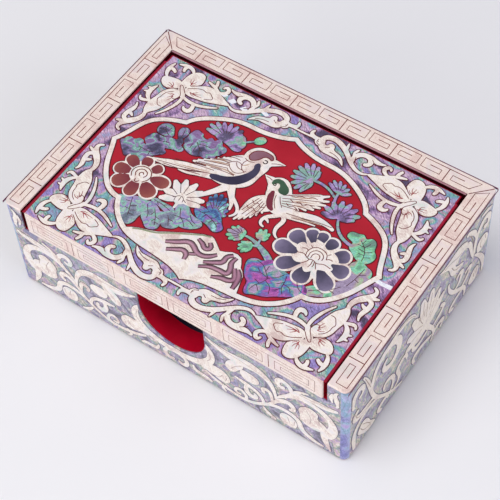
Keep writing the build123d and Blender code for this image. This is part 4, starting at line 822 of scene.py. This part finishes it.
# tan shading between the feathers, a dark rim on the left bird's cap
featherShades = [
    [(36.4, 40.6, 0.3), (40, 41.5, 0.7), (44, 42.6, 0.4)],
    [(37.4, 42.4, 0.3), (41, 43.7, 0.7), (44, 44.6, 0.4)],
    [(39, 43.9, 0.3), (41.2, 44.9, 0.6), (43.4, 45.4, 0.3)],
    [(40, 41.4, 0.3), (44, 42.4, 0.6), (47.4, 42.4, 0.3)],
    [(30, 36.6, 0.2), (36, 38.2, 0.6), (41, 39.6, 0.3)],
    [(64, 44.2, 0.2), (67.4, 45.9, 0.6), (70.6, 47.6, 0.2)],
    [(64, 42.9, 0.2), (67.4, 44.4, 0.6), (71, 46.0, 0.2)],
    [(64.4, 41.6, 0.2), (67.4, 42.8, 0.5), (70, 43.8, 0.2)],
    [(57.2, 38.4, 0.2), (56.6, 35.6, 0.5), (55.8, 33.2, 0.2)],
    [(59, 38.2, 0.2), (58.6, 35.6, 0.5), (58, 33.2, 0.2)],
    [(67, 38.8, 0.2), (71, 39.7, 0.5), (76, 40.8, 0.2)],
    [(46.6, 45.8, 0.2), (47.8, 46.8, 0.6), (48.6, 48, 0.2)],
]
onLid(drawStrokes("feather_shades", featherShades, 0.5, True, lacquer["tanFeatherStain"]), inlayTop - 0.005)
capLine = birdShapes["left_bird_cap"][0]
onLid(drawStrokes("left_bird_cap_rim", [capLine + capLine[:1]], 0.3, True, lineColour), inlayTop + 0.03)
birdLines = [
    [(43.3, 45.0), (44.6, 43.7), (46.4, 43), (47.8, 43.5), (49.0, 45)],
    [(45.0, 46.2), (46.2, 45), (48.0, 44.8)], [(42.9, 44.4), (43.9, 45.8), (45.6, 46.6), (47.0, 46.2)],
    [(47.2, 48.6), (46.7, 46.8), (47.4, 45.2), (48.8, 44.4)], [(44.0, 43.2), (45.2, 42.4), (47.0, 42.2)],
    [(36, 40.9), (40, 42.0), (44, 43.2)], [(37, 42), (41, 43.3), (44.0, 44.2)],
    [(38.6, 43.5), (41.0, 44.6), (43.2, 45.0)], [(40.0, 41.0), (44.0, 41.8), (47, 42.0)],
    [(26, 35.2), (31, 36.4), (37, 37.9), (42, 39.4)], [(30, 38.3), (36, 39.6), (41.4, 40.6)],
    [(46.2, 48.7), (47.6, 48.3), (49.2, 48.8)], [(53.4, 50.9), (54.6, 51.6), (56.4, 52.2)],
    [(62, 43.7), (66, 46), (70.6, 48.8)], [(62.4, 42.7), (67, 45), (72.2, 47.4)],
    [(62.8, 41.9), (67.4, 43.8), (71.2, 45.2)], [(63.2, 41.2), (66.8, 42.5), (69.8, 43.2)],
    [(63.6, 40.6), (66, 41.1), (68.2, 41.6)], [(61.6, 42.8), (62.6, 41.4), (64.0, 40.0)],
    [(57.9, 39.4), (57.2, 36.4), (56.2, 32.4)], [(58.6, 39), (58.2, 36), (57.4, 32.6)],
    [(59.2, 38.8), (59.2, 36), (58.5, 33.4)], [(57.2, 39.4), (56.3, 36.8), (55.4, 33.6)],
    [(60.0, 38.6), (60.0, 36.6), (59.6, 34.6)], [(66, 39.1), (70, 39.9), (75, 41.1), (78.8, 41.6)],
    [(56.8, 46.3), (55.8, 46.6), (54.8, 46.7)], [(60.4, 42.8), (61.0, 40.9), (62.6, 38.8)],
    [(35.4, 40.4), (39, 41.2), (43, 42)], [(39.4, 44.2), (41.6, 45.4), (43.6, 45.8)],
    [(41.6, 46.4), (43.4, 47.2), (45.6, 47.4)], [(43.6, 47.8), (45.4, 48.6)],
    [(28, 35.2), (33, 36.0), (39, 37.4)],
    [(64.4, 43.6), (66, 43.2), (67, 44.0), (68.4, 43.6), (69.4, 44.6), (70.8, 44.6)],
    [(64.2, 41.9), (65.4, 41.4), (66.6, 42.0), (67.8, 41.6)],
    [(63.2, 44.6), (65, 44.9), (66.4, 46.0), (68, 46.2), (69, 47.2), (70.6, 47.4)],
    [(56, 38), (57, 37.2), (58, 37.8), (59, 37.0), (60, 37.6)],
    [(55.6, 35.8), (56.6, 35.2), (57.6, 35.8), (58.6, 35.2), (59.6, 35.8)],
    [(68, 38.6), (72, 39.6), (76.6, 40.2)],
]
onLid(drawStrokes("bird_lines", birdLines, 0.22, True, lineColour), inlayTop + 0.005)
eyeLines = [
    [(51.2, 50.9, 0.35), (51.9, 51.0, 0.35), (52.2, 50.4, 0.3), (51.7, 49.9, 0.3), (51.1, 50.2, 0.3)],
    [(57.9, 45.9, 0.3), (58.4, 45.7, 0.3), (58.3, 45.2, 0.3), (57.8, 45.2, 0.3)],
]
onLid(drawStrokes("bird_eyes", eyeLines, 0.3, True, lacquer["eyeInk"]), inlayTop + 0.03)
print("birds drawn")

# rock: mauve steps with dark edges, and a green edge along its top
rockBands = [
    [(44.3, 14.3, 0.5), (47, 15.8, 0.8), (50, 17.5, 0.9), (51.6, 17, 0.9), (53.4, 15.9, 0.9),
     (55.2, 15.8, 0.8), (56.9, 16.6, 0.8), (58.4, 18.1, 0.5)],
    [(45.9, 12.4, 0.5), (48.2, 13.7, 0.7), (50, 14.5, 0.8), (51.3, 13.9, 0.8), (51.8, 12.2, 0.5)],
    [(51.9, 14.4, 0.4), (53.5, 15.3, 0.5)],
    [(51.2, 19.7, 0.4), (53, 19, 0.7), (54.6, 18.1, 0.8), (55.6, 18.9, 0.8), (54.6, 20.3, 0.5)],
    [(56.5, 14.3, 0.4), (59.4, 15.9, 0.8), (60.8, 17, 0.9), (61, 19, 0.8), (62.2, 20.2, 0.6)],
    [(56.2, 12.5, 0.4), (59, 14, 0.7), (61.6, 14.4, 0.8), (63.8, 14.7, 0.9), (63.9, 16, 0.9),
     (63, 18, 0.8), (63.3, 20, 0.5)],
    [(60.8, 11.6, 0.4), (63.4, 12.7, 0.8), (65.6, 13.2, 0.9), (66.4, 14.1, 0.9), (65.7, 15.6, 0.8),
     (64.6, 17, 0.6)],
    [(67.7, 11.4, 0.6), (67.5, 13.6, 0.9), (66.9, 15.7, 0.9), (65.6, 17.2, 0.5)],
]
rockBands = [[(x, y, w * 1.3) for x, y, w in line] for line in rockBands]
rockEdge = [[(x, y, w + 0.6) for x, y, w in line] for line in rockBands]
rockRidge = [[
    (34.4, 13), (36.4, 13.9), (38.6, 14.5), (41.2, 15.5), (43.6, 17), (46, 18.3), (48.8, 19.8),
    (51.5, 21.2), (53.8, 21.9),
]]
onLid(drawStrokes("rock_edges", rockEdge, 1.0, True, lacquer["brownRockEdge"]), inlayTop + 0.01)
onLid(drawStrokes("rock_steps", rockBands, 0.8, True, lacquer["mauveStain"]), inlayTop + 0.05)
onLid(drawStrokes("rock_ridge", rockRidge, 0.5, True, lacquer["greenStain"]))

# ragged ends of the upper left leaves
leafLobes = [
    [(18.6, 40.2), (20.6, 41.3), (22.6, 41.0), (24.8, 42.0), (26.2, 41.0), (25.4, 39.6), (26.6, 38.4),
     (25.0, 37.0), (23.0, 37.6), (21.4, 37.2), (20.0, 38.2)],
    [(13.9, 36.7), (14.8, 37.9), (16.4, 37.9), (17.6, 38.9), (19.2, 38.3), (19.0, 36.6), (17.2, 34.6),
     (15.0, 34.8)],
    [(17.4, 34.4), (18.6, 33.0), (20.6, 31.6), (22.4, 32.2), (23.4, 33.6), (22.6, 34.8), (20.6, 35.2)],
    [(22.8, 42.2), (24.0, 43.6), (26.2, 43.8), (27.2, 45.0), (28.4, 44.4), (28.8, 42.6), (30.2, 41.8),
     (29.2, 40.6), (26.6, 40.6)],
    [(29.4, 44.0), (28.2, 45.2), (28.6, 46.6), (29.6, 47.4), (30.0, 49.0), (31.4, 49.6), (32.0, 48.2),
     (31.2, 45.4)],
    [(33.8, 48.4), (34.4, 49.6), (35.6, 49.2), (36.4, 50.2), (37.8, 49.8), (38.6, 48.8), (40.0, 48.6),
     (40.4, 47.0), (38.0, 46.2)],
    [(34.8, 43.2), (36.4, 42.6), (37.6, 43.4), (39.0, 44.2), (38.4, 45.6), (36.4, 45.4)],
]
lobes = drawShapes("upper_left_leaf_lobes", leafLobes, thinChip, slateShell)
onLid(lobes, inlayTop - 0.01)
lobeEdges = [lobe + lobe[:1] for lobe in leafLobes]
onLid(drawStrokes("upper_left_lobe_edges", lobeEdges, 0.2, True, lidLine), inlayTop - 0.035)

# a bright chip of shell between the medallion's right corner and the lid's edge
brightChip = [(96.6, 34.5), (99.0, 34.1), (101.9, 34.4), (101.9, 33.1), (99.0, 33.0), (97.0, 33.2)]
# painted glints: pale chips laid on the ground beside the back left vine, where highlights fall
glintChips = [
    [(26.8, 64.1), (27.9, 65.4), (29.3, 64.8), (28.4, 63.7)],
    [(30.2, 63.2), (31.2, 64.8), (32.7, 64.1), (31.8, 62.8)],
    [(34.6, 62.7), (35.7, 64.1), (37.0, 63.3), (36.1, 62.3)],
    [(38.4, 64.6), (39.2, 65.7), (40.6, 65.4), (41.8, 65.6), (43.2, 64.8), (42.4, 64.1), (40.4, 64.7)],
]
# one piece for the bright chip and the painted glints
chips = drawShapes("bright_shell_chip_and_painted_glints", [brightChip] + glintChips, 0.1, palePearlAndGlint, False)
onLid(chips, inlayTop - 0.09)

# fine lines on the side walls' scrolls: petals of the big flower, midribs of the leaves
wallLines = [
    [(35.6, 24.4), (36.4, 21.5), (37.5, 19)], [(34.6, 25.4), (35.7, 22.6)],
    [(37.4, 29.6), (37.3, 26), (38, 22)], [(39.3, 26.4), (39.3, 23), (39.2, 20)],
    [(43.0, 23.6), (42.2, 21), (41.2, 18.6)], [(33.4, 20.6), (35.6, 19.4), (37.6, 18)],
    [(45.2, 20.4), (43.4, 19), (41.4, 17.4)], [(41.4, 29), (41.2, 25.4), (40.6, 22)],
    [(32, 17.4), (34.6, 16.9), (37.5, 16.4)], [(45.2, 24.6), (44.0, 21.6)],
    [(60.0, 32.4), (62.2, 29), (63.6, 25.6), (64.2, 22.5)],
    [(47.4, 31.6), (51, 30.6), (54.6, 28.8), (57, 28.4)], [(51.6, 27.6), (54, 23.8), (57.4, 21.8)],
    [(24, 33), (28, 32.6), (31.2, 30.6), (33, 28.6)], [(8.2, 32.4), (9.6, 28.6), (11.2, 24)],
    [(7, 8.4), (8.6, 5.4), (12.4, 2.8)], [(8, 9.2), (10, 7), (12, 3.8)],
    [(69.2, 20.6), (68.6, 18), (69.6, 15.8)], [(71, 20.4), (71.6, 18)], [(66.6, 6.8), (67.4, 4.2)],
    [(68.4, 7.4), (68.4, 5)], [(4.2, 19.8), (5.2, 17), (8, 15.9), (12, 15.8)],
]
rightLines = drawStrokes("right_scroll_lines", wallLines, 0.26, True, lacquer["brownWallLine"])
leftLines = copyOf(rightLines, "left_scroll_lines")
sideStart, frontStart = -37.75, -54.3
setOn(rightLines, onSideWall(1, sideStart), "box")
setOn(leftLines, onSideWall(-1, sideStart), "box")
frontLeaf = [
    [(67.4, 24.2), (72, 23.2), (77, 22.8), (82, 21.8)], [(73.4, 16), (75, 18.4), (77, 20.4)],
    [(97, 16.6), (98.4, 13.4), (98, 10.4)], [(100.6, 16), (101, 13)], [(91, 7), (91.6, 4.6)],
    [(93.2, 6.6), (93, 4.4)], [(95, 22.6), (99, 23.2), (104, 24.4)],
    [(66.2, 17.8), (66.6, 14.6), (65.4, 12.4)], [(70.2, 9.6), (69, 7.4), (66.4, 6.6)],
    [(71.6, 9), (71, 7)],
]
frontLines = drawStrokes("front_scroll_lines", frontLeaf, 0.24, True, lacquer["paleWallLine"])
frontTwin = copyOf(frontLines, "front_left_scroll_lines")
setOn(frontLines, onFront(1, frontStart), "box")
setOn(frontTwin, onFront(-1, -frontStart), "box")

# leaf veins and the lines between petals
leafVeins = [
    [(28.2, 21.4), (29, 19.4), (29.8, 17.7), (30.6, 15.8)], [(28.7, 20), (27.2, 19.6)],
    [(29.3, 18.6), (30.9, 19.6)], [(29.8, 17.7), (28.4, 17.6)], [(30.0, 17.3), (31.6, 18.2)],
    [(30.4, 16.4), (31.8, 16.6)], [(33, 21.6), (34.1, 20.2), (35, 19.1), (35.5, 17.8)],
    [(35.6, 21.4), (37, 19.7), (38, 18.2), (38.7, 16.8)], [(36.2, 20.6), (35.9, 19.2)],
    [(37.2, 19.4), (38.7, 19.2)], [(37.7, 18.7), (37.2, 17.4)], [(38.3, 17.7), (39.3, 17.8)],
    [(39.8, 21.6), (41, 20.1), (41.9, 18.7)], [(40.6, 20.6), (42.2, 20.6)],
    [(41.4, 22.4), (43, 22.7), (44.6, 21.8), (45.8, 20.6)], [(43, 22.7), (45.4, 23), (47.6, 22.2)],
    [(41.4, 25.2), (42.4, 23.6), (43, 22.7)], [(44.8, 24.8), (46.2, 23.6), (47.8, 23)],
    [(33.6, 23.8), (36.6, 23.6), (39.4, 23)], [(34.8, 23.7), (35.6, 22.9)], [(36.8, 23.5), (37.6, 24.2)],
    [(46, 27.2), (48.4, 27.2), (50.8, 26.6), (53.2, 25.4)], [(47.4, 27.3), (48.4, 28.4)],
    [(48.4, 27.2), (47.8, 25.8)], [(50, 26.9), (51.4, 27.9)], [(50.8, 26.6), (50.4, 25.2)],
    [(52, 26.1), (53.2, 26.8)], [(91, 36.7), (90.6, 38.6), (89.8, 40.2), (88.6, 41.4), (87.4, 42.3)],
    [(90.6, 38.6), (88.9, 38.4)], [(90.2, 39.6), (88.2, 39.7)], [(90.3, 39.4), (91.9, 40.6)],
    [(89.4, 40.7), (90.3, 42.6)], [(89.2, 40.9), (87.3, 40.8)], [(90.8, 37.9), (92.4, 38.8)],
    [(88.4, 41.6), (88.6, 43)], [(73.6, 19.2), (72, 20.6), (70.2, 22), (68.2, 22.4)],
    [(73.6, 19.2), (71, 19.6), (68.4, 18.6)], [(73.6, 19.2), (73, 17.4), (71.8, 15.4), (71.4, 13.6)],
    [(73.6, 19.2), (75.6, 20.8), (76.6, 22.4)], [(72, 20.6), (71.8, 22.6)], [(71, 19.6), (69.6, 20.6)],
    [(72.6, 16.7), (70.8, 17.2)], [(72.2, 16), (73.6, 14.6)], [(73.4, 18.3), (75.4, 17.2), (76.4, 15.2)],
    [(77.4, 22.4), (77.9, 20.4), (78.3, 18.4), (79.4, 17)], [(77.9, 20.4), (76.4, 19)],
    [(78, 19.8), (79.8, 19.6), (81, 18.4)], [(78.2, 18.6), (77.2, 17.2)],
    [(80.4, 22.4), (81.8, 20.8), (83.2, 20.2)], [(84.4, 21.6), (86.2, 23), (88.6, 24.6), (90.8, 27)],
    [(86.2, 23), (88, 22.8)], [(88.6, 24.6), (90.4, 24.4)],
    [(93, 35), (92.8, 32.6), (92.4, 30.2), (91.8, 28)], [(92.8, 32.6), (94.2, 33.6)],
    [(92.5, 30.9), (93.9, 30.6)], [(21, 46.4), (22, 45), (23.6, 44)], [(20.4, 45), (22, 45)],
    [(22.8, 46.8), (22.6, 45.2)], [(26.4, 48), (26.8, 46.6), (26.9, 45.2)],
    [(29.8, 48.6), (31.4, 46.6), (33.2, 45), (35.2, 43.8)], [(31.4, 46.6), (33.4, 47.4), (36.6, 48.2)],
    [(32.2, 45.8), (34.6, 46.4), (38.2, 46.4)], [(31, 45.4), (31.2, 43.4)], [(32.4, 44.9), (32.6, 42.8)],
    [(33.8, 44.6), (34.4, 43)], [(30.2, 47.6), (29.4, 46.2)],
    [(20, 40.8), (23, 41.2), (26, 42), (28.6, 42.2)], [(22.4, 41.1), (21.6, 42.2)],
    [(24.4, 41.6), (24.2, 42.8)], [(23.6, 41.2), (24.4, 40)], [(26.2, 41.9), (27, 40.9)],
    [(14.4, 35.6), (17, 36.2), (19.6, 36.4), (22.4, 36.4), (24.8, 37.8)], [(16.4, 36), (16.8, 34.6)],
    [(18.4, 36.3), (18.6, 37.6)], [(19.6, 36.4), (20, 35)], [(21.4, 36.4), (21.8, 37.5)],
    [(22.6, 36.5), (22.8, 35.2)],
]
# each line runs from a fan's root to the notch between two petals
petalFans = [
    ((65.8, 52), [(66.1, 55.4), (65, 56.6), (63.3, 56.8), (61.5, 55.9), (60.5, 54.2), (60.1, 52.3),
     (60.5, 50.4), (61.7, 48.7), (63.3, 47.6), (65.1, 47.5), (65.9, 49.2)]),
    ((78.2, 45.2), [(74.2, 44.5), (73.8, 46.6), (74.8, 48.8), (76.8, 50.2), (79, 50.5), (81.2, 49.9),
     (82.8, 48.4), (82.2, 46.6)]),
    ((74.3, 52.3), [(70.4, 53.8), (71, 55.1), (72.6, 55.7), (74.3, 55.4), (75.8, 54.7), (77, 53.5)]),
    ((37.4, 51.8), [(31.5, 51.7), (31.4, 53.5), (32.6, 54.9), (34.3, 55.8), (36.2, 56.4), (38.2, 56.5),
     (40, 56)]),
    ((49.9, 28.8), [(46.6, 30.6), (46.1, 32.5), (46.8, 33.9), (48.2, 34.6), (49.8, 34.2), (51.2, 32.9),
     (52.2, 31.2)]),
    ((60.6, 27), [(59.3, 28.5), (57.8, 28.6), (56.7, 27.7), (56.3, 26.3), (56.8, 25), (58, 24.3),
     (59.3, 24.7)]),
    ((39.2, 28), [(34.6, 25.4), (34, 28.2), (34.9, 31.9), (37.3, 33.5), (40.3, 33.8), (43, 32.5),
     (44.9, 30.2), (44.9, 28.3)]),
]
for root, tips in petalFans:
    for tip, nextTip in zip(tips, tips[1:]):
        notch = ((tip[0] + nextTip[0]) / 2, (tip[1] + nextTip[1]) / 2)
        reachX, reachY = notch[0] - root[0], notch[1] - root[1]
        leafVeins.append([(root[0] + reachX * t, root[1] + reachY * t) for t in (0.3, 0.6, 0.92)])
leafVeins += [
    [(38.2, 26.4), (38.0, 27.8), (38.9, 28.6), (40.1, 28.2), (40.5, 27.0)], [(39.2, 28.3), (39.3, 27.0)],
    [(37.2, 27.2), (38.0, 27.8)], [(41.4, 27.4), (40.4, 27.9)],
]
onLid(drawStrokes("leaf_veins", leafVeins, 0.2, True, lacquer["brownVeinPigment"]), inlayTop + 0.005)
print("rock and leaves drawn")

# floor and light
floorLook = {"size": 3.0, "roughness": 0.6, "cloud": 3.0, "dark": "#EDEDF0", "light": "#F4F4F6"}
bpy.ops.object.select_all(action="DESELECT")
bpy.ops.mesh.primitive_plane_add(size=floorLook["size"], location=(0, 0, 0))
floor = bpy.context.object
floor.name = "floor"
bpy.ops.object.mode_set(mode="EDIT")
bpy.ops.mesh.subdivide(number_cuts=8)
bpy.ops.object.mode_set(mode="OBJECT")
paperSweep, tree, shader, place = startMaterial("paperSweep", {"Roughness": floorLook["roughness"]})
clouds = {"Vector": place, "Scale": floorLook["cloud"], "Detail": 2.0}
paper = addNode(tree, "TexNoise", clouds).outputs["Fac"]
paperStops = [(0.0, floorLook["dark"]), (1.0, floorLook["light"])]
paperTone = addNode(tree, "ValToRGB", {"Fac": paper}, stops=paperStops).outputs["Color"]
tree.links.new(paperTone, shader.inputs["Base Color"])
floor.data.materials.append(paperSweep)

world = bpy.data.worlds.new("studio")
bpy.context.scene.world = world
world.use_nodes = True
world.node_tree.nodes["Background"].inputs["Color"].default_value = linearColour("#F1F1F8")
world.node_tree.nodes["Background"].inputs["Strength"].default_value = 0.45

studioLights = {
    "overhead": {"at": (-0.2, -0.35, 1.15), "size": 0.7, "power": 6.2, "colour": "#FFFDFB"},
    "front": {"at": (-0.45, -1.15, 0.4), "size": 0.8, "power": 4.6, "colour": "#FFFDFB"},
    "side": {"at": (1.0, -0.05, 0.5), "size": 0.8, "power": 4.2, "colour": "#F6F6FF"},
}
for name, look in studioLights.items():
    bpy.ops.object.light_add(type="AREA", location=look["at"])
    lamp = bpy.context.object
    lamp.name = name
    lamp.data.size = look["size"]
    lamp.data.energy = look["power"]
    lamp.data.color = linearColour(look["colour"])[:3]
    lamp.rotation_euler = (Vector((0, 0, 0)) - Vector(look["at"])).to_track_quat("-Z", "Y").to_euler()

# the photograph's camera: looks down at the front right corner
cameraLook = {
    "azimuth": 37.808, "elevation": 54.711, "roll": -4.109, "distance": 398.707,
    "middle": (0, 0, 18.0), "sideways": 0.511, "upwards": 4.459, "lens": 103.07,
}
bpy.ops.object.camera_add()
camera = bpy.context.object
camera.name = "photo_camera"
camera.data.sensor_width = 36
camera.data.lens = cameraLook["lens"]
camera.data.clip_start = 0.01
turned = (
    Matrix.Rotation(radians(cameraLook["azimuth"]), 4, "Z")
    @ Matrix.Rotation(radians(90 - cameraLook["elevation"]), 4, "X")
    @ Matrix.Rotation(radians(cameraLook["roll"]), 4, "Z")
)
offset = Vector((-cameraLook["sideways"], -cameraLook["upwards"], cameraLook["distance"]))
spot = Vector(cameraLook["middle"]) + turned @ offset
camera.matrix_world = Matrix.Translation(spot * mm) @ turned
bpy.context.scene.camera = camera
bpy.context.scene.view_settings.view_transform = "Standard"

print("scene ready")
